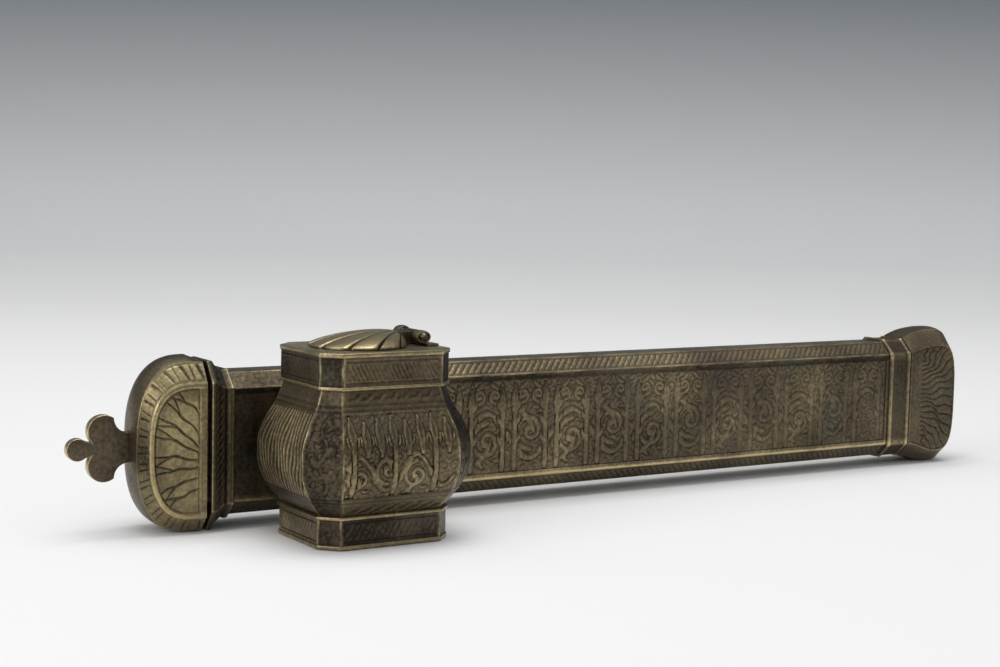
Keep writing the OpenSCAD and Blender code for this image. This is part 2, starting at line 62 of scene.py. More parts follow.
tube_low, tube_high = box_mm("case_tube")
tube_mid = (tube_low + tube_high) / 2
tube_half = (tube_high - tube_low) / 2
sheet = 1.0
tube_chamfer = 3.7
tube_soften = 0.45
mouth_x, foot_x = tube_low[0], tube_high[0]
mouth_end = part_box("mouth_collar")[1].x / MM
foot_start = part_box("foot_collar")[0].x / MM
panel_x = (mouth_x + 17.0, foot_start - 1.2)
panel_half = 12.3
panel_sink = 0.7
step_in = 0.03
strip_middle, strip_edge = 12.9, 13.4
row_step = 0.22
strokes_start, strokes_stop = mouth_end + 24, foot_start - 0.6
stroke_pitch, stroke_half, stroke_end, stroke_depth = 2.0, 0.34, 1.7, 0.2
rule_place, rule_half, rule_depth = 1.9, 0.28, 0.16
leg_per_lift = 2 - math.sqrt(2)


def eight_corners(half_a, half_b, leg_a, leg_b):
    """Corners of an eight-sided section, anticlockwise from the start of its lower side."""
    a, b = half_a - leg_a, half_b - leg_b
    return np.array([
        (-a, -half_b), (a, -half_b), (half_a, -b), (half_a, b),
        (a, half_b), (-a, half_b), (-half_a, b), (-half_a, -b),
    ])


def walk(corners, steps, soften):
    """Goes once round a section with softened corners. Each row has a point, its outward direction,
    its side, its place from the middle of that side, and its distance from the nearest corner."""
    ahead = np.roll(corners, -1, 0) - corners
    length = np.linalg.norm(ahead, axis=1)
    along = ahead / length[:, None]
    out = np.column_stack([along[:, 1], -along[:, 0]])
    turn = np.arccos(np.clip((along * np.roll(along, 1, 0)).sum(1), -1, 1))
    trim = soften * np.tan(turn / 2)
    rows = []
    for side, corner in enumerate(corners):
        after = (side + 1) % len(corners)
        first = trim[side] - length[side] / 2
        last = length[side] / 2 - trim[after]
        if isinstance(steps[side], int):
            places = np.linspace(first, last, steps[side] + 1)
        else:
            places = np.concatenate([[first], steps[side], [last]])
        middle = corner + along[side] * length[side] / 2
        for place in places:
            gap = min(place - first, last - place)
            rows.append((*(middle + along[side] * place), *out[side], side, place, gap))
        end = middle + along[side] * last - out[side] * soften
        for share in (1 / 3, 2 / 3):
            way = out[side] * (1 - share) + out[after] * share
            way /= np.linalg.norm(way)
            rows.append((*(end + way * soften), *way, side, length[side] / 2, 0))
    return np.array(rows + rows[:1])


def eased(share):
    """A share from 0 to 1 that starts and ends slowly."""
    return share * share * (3 - 2 * share)


def valley(distance, half):
    """Depth share of a cut: 1 on its line and 0 at half its width."""
    return eased(np.clip(1 - np.abs(distance) / half, 0, 1))


def cuts_every(place, pitch, half):
    """Depth share of cuts that repeat along a face."""
    return valley((place / pitch + 0.5) % 1 * pitch - pitch / 2, half)


def finished(name, bm, sharp):
    """A smooth piece from a bmesh, with its edges sharp above an angle in degrees."""
    for face in bm.faces:
        face.smooth = True
    mesh = bpy.data.meshes.new(name)
    bm.to_mesh(mesh)
    bm.free()
    mesh.set_sharp_from_angle(angle=math.radians(sharp))
    piece = bpy.data.objects.new(name, mesh)
    bpy.context.scene.collection.objects.link(piece)
    return piece


def skin(name, points, wear_and_light, joined=True, sharp=50):
    """A closed metal skin from rows of points in mm and, at each, a value for wear and painted
    light.
    The last row meets the first, or else what stays open is filled."""
    if joined:
        points = np.concatenate([points, points[:1]])
        wear_and_light = np.concatenate([wear_and_light, wear_and_light[:1]])
    rows, columns = wear_and_light.shape
    bm = bmesh.new()
    bmesh.ops.create_grid(bm, x_segments=columns - 1, y_segments=rows - 1, size=1)
    raw = bpy.data.meshes.new("raw")
    bm.to_mesh(raw)
    raw.vertices.foreach_set("co", (points * MM).ravel())
    raw.attributes.new("wear_and_light", "FLOAT", "POINT").data.foreach_set("value", wear_and_light.ravel())
    bm.clear()
    bm.from_mesh(raw)
    bpy.data.meshes.remove(raw)
    bmesh.ops.remove_doubles(bm, verts=bm.verts, dist=1e-7)
    if not joined:
        bmesh.ops.holes_fill(bm, edges=[e for e in bm.edges if e.is_boundary], sides=0)
    bmesh.ops.recalc_face_normals(bm, faces=bm.faces)
    return finished(name, bm, sharp)


def fit(piece, material, body, slot, *nodes):
    """Gives a piece its metal and sets it on its body in place of CAD nodes."""
    piece.data.materials.append(material)
    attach(piece, body)
    if nodes:
        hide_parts(*nodes)


def add_node(tree, kind, inputs, **settings):
    """A new shader node with its settings, and a value or a link for each named input."""
    node = tree.nodes.new(kind)
    for setting, value in settings.items():
        setattr(node, setting, value)
    for socket, value in inputs.items():
        if isinstance(value, bpy.types.NodeSocket):
            tree.links.new(value, node.inputs[socket])
        else:
            node.inputs[socket].default_value = value
    return node


def add_ramp(tree, factor, stops):
    """The colour of a ramp that goes through a colour at each of its stops."""
    ramp = add_node(tree, "ShaderNodeValToRGB", {"Fac": factor})
    elements = ramp.color_ramp.elements
    (first, low), *between, (last, high) = stops
    elements[0].position, elements[1].position = first, last
    elements[0].color, elements[1].color = (*low, 1), (*high, 1)
    for position, colour in between:
        elements.new(position).color = (*colour, 1)
    return ramp.outputs["Color"]


def aged_brass(name, hollow, face, worn_and_lit, green=0.27, even=None):
    """Brass browned by age: dark where it was cut and rubbed bright where it stands out. The same
    value also carries painted shade and painted highlights. A node with no such value of its own
    takes an even amount."""
    material = bpy.data.materials.new(name)
    material.use_nodes = True
    tree = material.node_tree
    where = tree.nodes.new("ShaderNodeTexCoord").outputs["Object"]

    def mottle(scale, detail, low, high):
        noise = add_node(
            tree, "ShaderNodeTexNoise", {"Vector": where, "Scale": scale, "Detail": detail}
        )
        return add_node(tree, "ShaderNodeMapRange", {
            "Value": noise.outputs["Fac"],
            "From Min": 0.3, "From Max": 0.7, "To Min": low, "To Max": high,
        }).outputs["Result"]

    def maths(kind, first, second):
        return add_node(tree, "ShaderNodeMath", {0: first, 1: second}, operation=kind).outputs[0]

    def tinted(colour, share, tint):
        inputs = {0: share, 6: colour, 7: (*tint, 1)}
        return add_node(tree, "ShaderNodeMix", inputs, data_type="RGBA").outputs[2]

    if even is None:
        # This attribute carries wear together with painted shade and painted highlights.
        rubbed_and_light = add_node(tree, "ShaderNodeAttribute", {}, attribute_name="wear_and_light").outputs["Fac"]
    else:
        rubbed_and_light = mottle(220, 3, even - 0.12, even + 0.12)
    patches = mottle(48, 5, -0.18, 0.18)
    specks = mottle(1100, 3, -0.11, 0.11)
    wear_and_light = maths("ADD", maths("ADD", rubbed_and_light, patches), specks)

    brown = maths("MAXIMUM", mottle(26, 4, -0.6, 0.45), 0.0)
    crust = maths("MULTIPLY", mottle(70, 6, -1.4, 1.0), maths("SUBTRACT", 1.0, rubbed_and_light))
    crust = maths("MULTIPLY", maths("MAXIMUM", crust, 0.0), green)
    colour = add_ramp(tree, wear_and_light, [(0.08, hollow), (0.5, face), (1.0, worn_and_lit)])
    colour = tinted(colour, brown, (0.085, 0.064, 0.05))
    colour = tinted(colour, crust, (0.13, 0.165, 0.13))

    gloss = add_node(tree, "ShaderNodeMapRange", {"Value": wear_and_light, "To Min": 0.52, "To Max": 0.2})
    grain = add_node(tree, "ShaderNodeBump", {
        "Strength": 0.3, "Distance": 0.2 * MM,
        "Height": maths("ADD", mottle(1300, 4, 0.0, 0.35), mottle(170, 4, 0.0, 1.0)),
    })
    shader = tree.nodes["Principled BSDF"]
    shader.inputs["Metallic"].default_value = 0.85
    tree.links.new(colour, shader.inputs["Base Color"])
    tree.links.new(gloss.outputs["Result"], shader.inputs["Roughness"])
    tree.links.new(grain.outputs["Normal"], shader.inputs["Normal"])
    return material


def case_round(lift, steps, soften):
    """Section of the case, set out from its sides by a lift."""
    leg = tube_chamfer + leg_per_lift * lift
    corners = eight_corners(tube_half[1] + lift, tube_half[2] + lift, leg, leg)
    return walk(corners, steps, soften)


case_brass = aged_brass(
    "case_brass", (0.026, 0.02, 0.013), (0.16, 0.125, 0.074), (0.52, 0.42, 0.22)
)
panel_edges = [-panel_half, step_in - panel_half, panel_half - step_in, panel_half]
front_places = np.array([-strip_edge, -strip_middle, *panel_edges, strip_middle, strip_edge])
tube_round = case_round(0, [4, 8, front_places, 8, 4, 16, front_places, 16], tube_soften)
tube_rows = np.sort(np.concatenate([
    [mouth_x, mouth_end],
    np.arange(mouth_end + row_step, foot_start, row_step),
    [panel_x[0], panel_x[0] + step_in, panel_x[1] - step_in, panel_x[1], foot_start, foot_x],
]))
reach, round_y, round_z, out_y, out_z, side, place, corner_gap = np.broadcast_arrays(
    tube_rows[:, None], *(column[None] for column in tube_round.T)
)
# Lower side, back, upper side and front are the even numbers, and the chamfers between are odd.
front = side == 6
open_tube = (reach > strokes_start) & (reach < strokes_stop)
chamfers = (side % 2 == 1) & open_tube
lean = np.where(np.isin(side, (3, 7)), -0.95, 0.95)
strokes = cuts_every(reach + lean * place, stroke_pitch, stroke_half)
strokes = strokes * (np.abs(place) < stroke_end)
rules = valley(np.abs(place) - rule_place, rule_half)
cut = np.where(chamfers, np.maximum(stroke_depth * strokes, rule_depth * rules), 0.0)
edge_rule = valley(corner_gap - 0.9, 0.3) * np.isin(side, (0, 4)) * open_tube
cut = np.maximum(cut, 0.12 * edge_rule)
under_panel = (
    np.isin(side, (2, 6)) & (np.abs(place) < panel_half - step_in / 2)
    & (reach > panel_x[0] + step_in / 2) & (reach < panel_x[1] - step_in / 2)
)
# Corners are rubbed bright. The strip under the front panel is lighter, with a painted highlight
# along its lower corner, and the strip above it is dark. Next to the mouth the metal is painted
# darker, as the shade between the collar and the inkwell.
handled = 0.5 + 0.3 * np.sin(0.37 * reach + 1.3 * side) + 0.2 * np.sin(1.13 * reach + 2.1 * side)
wear_and_light = 0.43 + 0.08 * chamfers + 0.4 * handled * valley(corner_gap, 0.3) - 1.6 * cut
to_edge = np.clip((place - strip_middle) / (strip_edge - strip_middle), 0, 1)
# Painted highlight: the lower strip brightens towards its corner.
strip_tone_and_highlight = np.where(place > 0, 0.14 + 0.34 * to_edge, -0.3)
wear_and_light = wear_and_light + strip_tone_and_highlight * (front & (np.abs(place) > panel_half - step_in))
# Painted shade next to the mouth, reaching further along the sides than the front.
shade_until = mouth_end + np.where(front, 8.5, 26.0)
wear_and_light = wear_and_light - np.where(front, 0.24, 0.16) * np.clip((shade_until - reach) / 2.5, 0, 1)
cut = np.where(under_panel, panel_sink, cut)
tube_outer = np.stack([
    reach, tube_mid[1] + round_y - cut * out_y, tube_mid[2] + round_z - cut * out_z
], 2)
tube_ends = tube_outer[[0, -1]]
tube_ends[:, :, 1] -= sheet * out_y[[0, -1]]
tube_ends[:, :, 2] -= sheet * out_z[[0, -1]]
tube = skin(
    "case_tube_sheet", np.concatenate([tube_ends[:1], tube_outer, tube_ends[1:]]),
    np.concatenate([0 * wear_and_light[:1], wear_and_light, 0 * wear_and_light[:1]]),
)
fit(tube, case_brass, "case", "case_brass", "case_tube")

# Front and back panels of the case: tall spear leaves stand in front of a rolling vine and a ground
# of fine coils. All of it is cut by hand with an outline, and use has rubbed it nearly level near
# the foot.

panel_step = 0.26
ground_depth = 0.25
worn_end = 105.0


def inside_strokes(u, v, strokes):
    """How far each point lies inside the nearest tapering stroke, in mm. Outside is negative."""
    best = np.full(u.shape, -9.0)
    for path, half in strokes:
        path = np.asarray(path, float)
        half = np.broadcast_to(half, len(path))
        room = half.max() + 0.8
        near = (
            (u > path[:, 0].min() - room) & (u < path[:, 0].max() + room)
            & (v > path[:, 1].min() - room) & (v < path[:, 1].max() + room)
        )
        if not near.any():
            continue
        u_near, v_near, found = u[near], v[near], best[near]
        for start, end, half_1, half_2 in zip(path, path[1:], half, half[1:]):
            du, dv = end - start
            share = (u_near - start[0]) * du + (v_near - start[1]) * dv
            share = np.clip(share / max(du * du + dv * dv, 1e-9), 0, 1)
            gap = np.hypot(u_near - start[0] - share * du, v_near - start[1] - share * dv)
            found = np.maximum(found, half_1 + (half_2 - half_1) * share - gap)
        best[near] = found
    return best


def spear(u, foot, tip, half):
    """An upright leaf with a straight stem and a pointed head."""
    share = np.array([0, 0.05, 0.64, 0.72, 0.8, 0.9, 1])
    width = half * np.array([0.7, 1, 0.8, 1.15, 1.5, 0.95, 0.05])
    return np.column_stack([np.full(7, u), foot + share * (tip - foot)]), width


def leaf(u, v, heading, length, half, bend=0.0):
    """A leaf that sets out from a point and tapers at both ends."""
    share = np.linspace(0, 1, 7)
    angle = math.radians(heading) + bend * share
    path = np.cumsum(np.column_stack([np.cos(angle), np.sin(angle)]), 0) * length / 6
    return path - path[0] + (u, v), half * np.sin(math.pi * np.clip(share, 0.08, 0.97)) ** 0.8


def curl(u, v, radius, turns, start, way, half):
    """A shoot that coils inward to a bud at its middle."""
    share = np.linspace(0, 1, int(14 * turns) + 4)
    angle = start + way * share * turns * 2 * math.pi
    span = radius * (1 - 0.86 * share)
    path = np.column_stack([u + span * np.cos(angle), v + span * np.sin(angle)])
    return [(path, half * (1.1 - 0.3 * share)), (path[-2:], 1.5 * half)]


def raised(inside, soft=0.16):
    """Height share of what is left standing above the ground."""
    return eased(np.clip(inside / soft + 0.5, 0, 1))


def scroll_ground(u, v, cell):
    """Fine coils cut side by side over the ground: 1 along what stands between their lines."""
    row = np.round(v / cell)
    column = np.round(u / cell - 0.5 * (row % 2))
    du, dv = u - (column + 0.5 * (row % 2)) * cell, v - row * cell
    way = np.where((column + row) % 2 == 0, 1, -1)
    pitch = 0.34 * cell
    coil = np.hypot(du, dv) / pitch - way * np.arctan2(dv, du) / (2 * math.pi) + 0.37 * column
    return valley((coil % 1 - 0.5) * pitch, 0.4 * pitch)


def vine_strokes(run, wave, drop, rise, half):
    """A vine that rolls along a panel, with a coiled shoot and leaves in each of its bends."""
    climb = 2 * math.pi * run / wave
    stem = np.column_stack([run, drop + rise * np.sin(climb)])
    strokes = [(stem, half * (1 + 0.25 * np.sin(2 * climb)))]
    for k in range(math.ceil(2 * run[0] / wave - 0.3), int(2 * run[-1] / wave)):
        u = wave * (0.25 + 0.5 * k)
        way = 1 if k % 2 == 0 else -1
        if not run[0] + 0.12 * wave < u < run[-1] - 0.12 * wave:
            continue
        v = drop - 0.2 * way * rise
        strokes += curl(u, v, 0.82 * rise, 1.4, way * math.pi / 2, way, 0.9 * half)
        root = 0.86 * rise
        for turn in range(6):
            angle = way * (50 - 58 * turn)
            strokes.append(leaf(
                u + root * math.cos(math.radians(angle)), v + root * math.sin(math.radians(angle)),
                angle + 48 * way, 0.5 * rise, 0.8 * half, 0.8 * way,
            ))
        strokes.append(leaf(
            u - 0.2 * wave, drop - way * 1.25 * rise, way * 12, 0.4 * wave, 1.1 * half, way * 1.1
        ))
    return strokes


def arabesque_strokes(length, half, spears):
    """What stands behind and in front on a long panel: a vine with small shoots over each coil, and
    spear leaves in twos between the coils."""
    wave = 27.0
    run = np.arange(0.8, length - 0.8, 0.8)
    behind = vine_strokes(run, wave, -0.22 * half, 0.52 * half, 0.66)
    over, veins = [], []
    for k in range(int(2 * length / wave) + 1):
        u = 0.5 * wave * k
        middle = u + 0.25 * wave
        for way in (-1, 1):
            if middle < length - 5:
                start = math.pi / 2 - way * 2.2
                behind += curl(middle + 2.5 * way, 0.68 * half, 2.1, 1.35, start, -way, 0.4)
                behind += [
                    leaf(middle + 1.0 * way, 0.98 * half, -90 + 35 * way, 3.2, 0.5, 0.6 * way),
                    leaf(middle + 4.4 * way, -0.97 * half, 90 - 24 * way, 4.4, 0.7, 0.7 * way),
                    leaf(middle + 4.6 * way, 0.95 * half, -90 - 10 * way, 3.6, 0.6, 0.8 * way),
                ]
            at = u + 1.9 * way
            if not 1.5 < at < length - 2:
                continue
            tip = (0.95, 0.86)[(k + (way > 0)) % 2] * half
            if spears:
                over.append(spear(at, -0.96 * half, tip, 0.72))
                veins.append(([(at, tip - 0.3 * half), (at, tip - 0.08 * half)], 0.15))
            for lift in (0.34, 0.02, -0.4):
                over.append(
                    leaf(at + 0.3 * way, lift * half, 90 - 44 * way, 3.0, 0.52, 0.6 * way)
                )
    return behind, over, veins


def chased_panel(length, step, spears):
    """Relief of a panel on its own flat: where its points lie, their depth and their wear."""
    u = np.linspace(0, length, int(length / step) + 1)
    v = np.linspace(-panel_half + step_in, panel_half - step_in, int(2 * panel_half / step) + 1)
    u, v = np.meshgrid(u, v, indexing="ij")
    behind, over, veins = arabesque_strokes(length, panel_half - 0.3, spears)
    ahead = inside_strokes(u, v, over)
    inside = np.where(ahead > -0.4, ahead, inside_strokes(u, v, behind))
    rise = raised(inside, 0.22)
    outline = valley(inside + 0.24, 0.26)
    fine = scroll_ground(u, v, 3.9) * (1 - rise) * (1 - outline)
    vein = raised(inside_strokes(u, v, veins))
    depth = (1 - rise) * (ground_depth - 0.14 * fine) + 0.12 * outline
    fade = np.clip((length - u) / worn_end, 0.55, 1)
    depth = np.maximum(depth, 0.16 * vein) * fade
    rim = valley(np.minimum(panel_half - np.abs(v), np.minimum(u, length - u)), 0.45)
    depth = np.maximum(depth, ground_depth * rim)
    wear_and_light = 0.345 + 0.14 * rise + 0.1 * fine - 0.17 * outline - 0.14 * vein
    wear_and_light = wear_and_light + (0.4 - wear_and_light) * 0.7 * (1 - fade) - 0.12 * rim
    wear_and_light = wear_and_light + 0.08 * np.sin(math.pi * u / length) - 0.04
    return u, v, depth, wear_and_light


def flat_sheet(name, points, depth, wear_and_light, down):
    """A chased sheet with its rim turned down into the metal under it."""
    padded = np.pad(points, ((1, 1), (1, 1), (0, 0)), mode="edge")
    sunk = np.pad(depth, 1, constant_values=panel_sink - 0.02)
    wear_and_light = np.pad(wear_and_light, 1, mode="edge")
    return skin(name, padded + sunk[..., None] * np.array(down), wear_and_light, joined=False)


panel_length = panel_x[1] - panel_x[0] - 2 * step_in
for name, step, way in (
    ("case_front_panel", panel_step, 1), ("case_back_panel", 1.4 * panel_step, -1)
):
    u, v, depth, wear_and_light = chased_panel(panel_length, step, way > 0)
    face = tube_mid[1] - way * tube_half[1]
    along = panel_x[0] + step_in + u if way > 0 else panel_x[1] - step_in - u
    points = np.stack([along, np.full(u.shape, face), tube_mid[2] + v], 2)
    panel = flat_sheet(name, points, depth, wear_and_light, (0, way, 0))
    fit(panel, case_brass, "case", "case_brass")

# Collar round the mouth: a cast moulding soldered over the tube. From the lip it has a plain edge,
# a band of slanting strokes like a rope, a hollow and a bright ridge.

collar_low, collar_high = box_mm("mouth_collar")
collar_width = collar_high[0] - collar_low[0]
lip_half = (collar_high - collar_low) / 2
lip_leg = (3.8, 5.0)
ridge = 0.8
ridge_leg = tube_chamfer + leg_per_lift * ridge
rope_pitch, rope_depth = 1.9, 0.28
collar_steps, collar_soften = [24, 16, 8, 16, 24, 16, 90, 16], 0.35
moulding_brass = aged_brass(
    "moulding_brass", (0.02, 0.015, 0.01), (0.13, 0.102, 0.06), (0.56, 0.45, 0.24)
)


def collar_round(opening):
    """Section of the mouth collar where it has opened by a share from the ridge to the lip."""
    def between(low, high):
        return low + (high - low) * opening
    corners = eight_corners(
        between(tube_half[1] + ridge, lip_half[1]), between(tube_half[2] + ridge, lip_half[2]),
        between(ridge_leg, lip_leg[0]), between(ridge_leg, lip_leg[1]),
    )
    corners[2:4, 0] = lip_half[1]
    return walk(corners, collar_steps, collar_soften)


def section_at(x, y, z):
    """Points of a section of the case at one reach, measured from its middle line."""
    return np.column_stack([np.full(len(y), x), tube_mid[1] + y, tube_mid[2] + z])


def moulding(name, node, rings, wear_and_light, bore, ends, sharp):
    """A collar from the rings of its outside, closed by a bore that fits round the tube."""
    for x in ends:
        rings.append(section_at(x, bore[:, 0], bore[:, 1]))
        wear_and_light.append(np.full(len(bore), 0.2))
    piece = skin(name, np.array(rings), np.array(wear_and_light), sharp=sharp)
    fit(piece, moulding_brass, "case", "moulding_brass", node)


collar_rings, collar_wear = [], []
for share in np.linspace(0, 1, 31):
    ring = collar_round(np.interp(share, [0, 0.2, 0.38, 0.55, 0.75, 1], [1, 1, 0.4, 0.1, 0, 0]))
    not_back = ring[:, 4] != 2
    dip = 0.35 * valley(share - 0.68, 0.14) + 0.12 * valley(share - 0.2, 0.05)
    rounded = 0.25 * max(0, 0.03 - share) / 0.03 + 0.3 * max(0, share - 0.96) / 0.04
    rope = valley(share - 0.38, 0.2) * cuts_every(ring[:, 5] + 7 * share, rope_pitch, 0.5)
    rope = rope * not_back
    fall = dip + rounded + rope_depth * rope
    collar_rings.append(section_at(
        collar_low[0] + share * collar_width,
        ring[:, 0] - fall * ring[:, 2] * not_back, ring[:, 1] - fall * ring[:, 3],
    ))
    bright = 0.38 * valley(share - 0.02, 0.06) + 0.4 * valley(share - 0.92, 0.08)
    collar_wear.append(0.3 + bright + 0.25 * valley(ring[:, 6], 0.4) - 0.4 * rope - 0.4 * dip)
moulding(
    "mouth_collar_moulding", "mouth_collar", collar_rings, collar_wear,
    case_round(0, collar_steps, collar_soften), (collar_high[0], collar_low[0]), 35,
)

# Sleeve inside the mouth: a short tube of thin sheet that the lid closes over, soldered into the
# case. It takes a darker brass, painted as shade, like the other parts that sit inside or between
# others.

# A darker copy of the brass, painted as shade for parts inside or between others.
inner_brass = aged_brass(
    "inner_brass", (0.02, 0.016, 0.011), (0.07, 0.056, 0.036), (0.3, 0.25, 0.15), even=0.45
)


def refinish(material, *names):
    """Gives CAD nodes that stay as they are their metal."""
    for name in names:
        for holder in frame["nodes"][name].material_slots:
            holder.material = material


refinish(inner_brass, "mouth_sleeve")

# Collar before the foot: a cast band with two rounded ridges and a flat between them, soldered over
# the tube.

foot_collar_width = foot_x - foot_start
foot_ridge_half = foot_collar_width / 12
foot_collar_steps, foot_collar_soften = [4, 6, 12, 6, 4, 6, 12, 6], 0.4
foot_rings, foot_wear = [], []
for share in np.linspace(0, 1, 43):
    from_end = min(share, 1 - share) * foot_collar_width
    inset = from_end / foot_ridge_half - 1
    crest = math.sqrt(max(0.0, 1 - inset * inset)) if inset < 1 else 0.0
    lift = ridge * 0.5 * (1 + crest) - (0.3 if from_end <= 0 else 0)
    ring = case_round(lift, foot_collar_steps, foot_collar_soften)
    foot_rings.append(section_at(foot_start + share * foot_collar_width, ring[:, 0], ring[:, 1]))
    foot_wear.append(0.3 + 0.4 * crest + 0.35 * valley(ring[:, 6], 0.4))
moulding(
    "foot_collar_moulding", "foot_collar", foot_rings, foot_wear,
    case_round(0, foot_collar_steps, foot_collar_soften), (foot_x, foot_start), 50,
)

# Foot: the closed end of the case, two dished plates and a bowed strip of sheet between them, all
# soldered. The plates flare above and below the case and carry a fan of wavy cut lines.


def length_along(path):
    """Length of a path up to each of its points."""
    return np.concatenate([[0], np.cumsum(np.linalg.norm(np.diff(path, axis=0), axis=1))])


def end_outline(size, run, square, flared, count):
    """Outline of an end in reach and height: out along its lower edge, round, and back above."""
    round_reach, root, top, bottom, low = size
    share = np.linspace(0, 1, count)
    slow = eased(share) if flared else share
    fast = 1 - (1 - share) ** 2.2 if flared else share
    angle = np.linspace(-math.pi / 2, math.pi / 2, 6 * count)[1:-1]
    under = np.column_stack([run * share, -(low + (bottom - low) * slow)])
    over = np.column_stack([run * share, root + (top - root) * fast])[::-1]
    tip = np.column_stack([
        run + round_reach * np.cos(angle) ** (2 / square),
        np.sign(angle) * np.abs(np.sin(angle)) ** (2 / square) * np.where(angle < 0, bottom, top),
    ])
    path = np.concatenate([under, tip, over])
    gone = length_along(path)
    even = np.linspace(0, gone[-1], 6 * count)
    return np.column_stack([np.interp(even, gone, path[:, k]) for k in (0, 1)])


def fan_lines(rim, starts, rises, ends, seam, sway, fork, width):
    """Wavy lines that leave an end plate's seam at heights and angles, and sweep to shares of the
    way round its rim, each forked on the way."""
    def at_rim(share):
        return 0.97 * rim[int(round(share * (len(rim) - 1)))]

    lines = []
    share = np.linspace(0, 1, 15)[:, None]
    for k, (start, rise, end) in enumerate(zip(starts, np.radians(rises), ends)):
        first, last = np.array([seam, start]), at_rim(end)
        span = np.linalg.norm(last - first)
        outward = last - (0.25 * last[0], 0.3 * last[1])
        outward /= np.linalg.norm(outward)
        bend_1 = first + 0.42 * span * np.array([np.cos(rise), np.sin(rise)])
        bend_2 = last - 0.38 * span * outward
        path = (
            (1 - share) ** 3 * first + 3 * share * (1 - share) ** 2 * bend_1
            + 3 * share**2 * (1 - share) * bend_2 + share**3 * last
        )
        across = np.array([-outward[1], outward[0]])
        path = path + across * sway * np.sin(2.6 * math.pi * share + k) * np.sin(math.pi * share)
        lines.append((path, width * (0.55 + 0.6 * np.sin(math.pi * share[:, 0]))))
        if fork:
            tip = at_rim(min(max(end + (fork if k % 2 else -fork), 0.04), 0.96))
            part = share[::2]
            twig = path[8] + (tip - path[8]) * part + across * 0.5 * sway * np.sin(math.pi * part)
            lines.append((twig, width * (0.9 - 0.4 * part[:, 0])))
    return lines


def end_plate(name, seam_x, way, face_y, edge_y, inner, outer, ring, strokes, lines, place):
    """One dished plate of a flared end: a sunk panel inside a flush ring, and a slope to its edge.
    The slope has cuts across it where strokes is 1, and none where it is 0."""
    length = length_along(inner)
    scales = np.concatenate([[0], np.linspace(0.06, 1, 58)])
    slope = np.linspace(0, 1, 17)[1:]
    share = slope[:, None, None]
    plan = np.concatenate([scales[:, None, None] * inner, inner * (1 - share) + outer * share])
    reach, height = plan[..., 0], plan[..., 1]
    band = np.concatenate([0 * scales, slope])[:, None]
    on_face = band == 0
    down = band * (edge_y - face_y)
    rim = -inside_strokes(reach, height, [(inner, 0.0)])
    within = np.minimum(rim - ring, reach - ring - 0.5)
    sunk = raised(within, 0.5) * on_face
    line = raised(inside_strokes(reach, height, lines), 0.2) * sunk
    groove = valley(within - 0.2, 0.24) * on_face
    shoulder = valley(rim, 0.7)
    cuts = cuts_every(length + 0.8 * band + 0.3 * np.sin(1.7 * length), 1.8, 0.3)
    cuts = cuts * raised(0.34 - np.abs(band - 0.52), 0.1)
    rules = valley(band - 0.12, 0.06) + valley(band - 0.93, 0.06)
    depth = 0.16 * sunk + 0.16 * line + 0.1 * groove + 0.12 * shoulder
    depth = depth + strokes * np.maximum(0.22 * cuts, 0.12 * rules) + down
    wear_and_light = 0.46 - 0.06 * sunk - (0.19 + 0.19 * strokes) * line - 0.16 * groove
    wear_and_light = wear_and_light + 0.2 * valley(rim, 0.45) + 0.3 * valley(band - 1, 0.05)
    # The ring is bright, the panel dulls towards it, and the slope is darkest at the far end.
    level = np.abs(height) / np.abs(height).max()
    near_ring = np.clip((ring + 3.6 - rim) / 2.4, 0, 1)
    wear_and_light = wear_and_light + strokes * (
        0.22 * (on_face & (rim < ring)) + (0.15 - 0.12 * near_ring) * sunk
        - 0.48 * cuts - 0.16 * rules - (0.28 - 0.48 * level) * (band > 0)
    )
    outside = place(seam_x + way * reach, face_y + depth, tube_mid[2] + height)
    inside = place(
        seam_x + way * 0.955 * reach, face_y + down + sheet + 0.12, tube_mid[2] + 0.965 * height
    )
    keep = np.r_[0, 12:len(reach):14, len(reach) - 1]
    points = np.concatenate([outside, inside[keep][::-1]])
    return skin(name, points, np.concatenate([wear_and_light, 0 * wear_and_light[keep]]), joined=False, sharp=40)


def end_band(name, seam_x, way, edge_y, edge, crown, run, square, flared, place):
    """Bowed strip between the edges of an end's two plates."""
    shares = np.linspace(0, 1, 15)
    rows, wear_and_light = [], []
    for thick in (0.0, sheet):
        for share in shares if thick == 0 else shares[::-1]:
            bow = 1 - (2 * share - 1) ** 2
            size = np.array(edge) + np.array(crown) * bow - thick
            path = end_outline(size, run, square, flared, 30)
            y = edge_y + share * 2 * (tube_mid[1] - edge_y)
            rows.append(place(seam_x + way * path[:, 0], y, tube_mid[2] + path[:, 1]))
            wear_and_light.append(np.full(len(path), 0.38 + 0.2 * (bow < 0.05) if thick == 0 else 0.1))
    return skin(name, np.array(rows + rows[:1]), np.array(wear_and_light + wear_and_light[:1]), joined=False)


def build_end(
    pieces, metals, body, slot, settle, seam_x, way, face_y, edge_y, face, edge, crown, form, ring,
    strokes, fan_rim, fan,
):
    """The front plate, back plate and strip of a flared end, which settle moves to where they rest.
    Each piece is named with its node."""
    inner, outer = (end_outline(size, *form, outline_steps) for size in (face, edge))
    lines = fan_lines(fan_rim * inner, *fan, line_half)

    def in_front(x, y, z):
        return settle(np.stack(np.broadcast_arrays(x, y, z), -1))

    def at_back(x, y, z):
        return in_front(x, 2 * tube_mid[1] - y, z)

    *plates, (strip_name, strip_node) = pieces
    for (name, node), place in zip(plates, (in_front, at_back)):
        plate = end_plate(
            name, seam_x, way, face_y, edge_y, inner, outer, ring, strokes, lines, place
        )
        fit(plate, metals[0], body, slot, node)
    strip = end_band(strip_name, seam_x, way, edge_y, edge, crown, *form, in_front)
    fit(strip, metals[1], body, slot, strip_node)


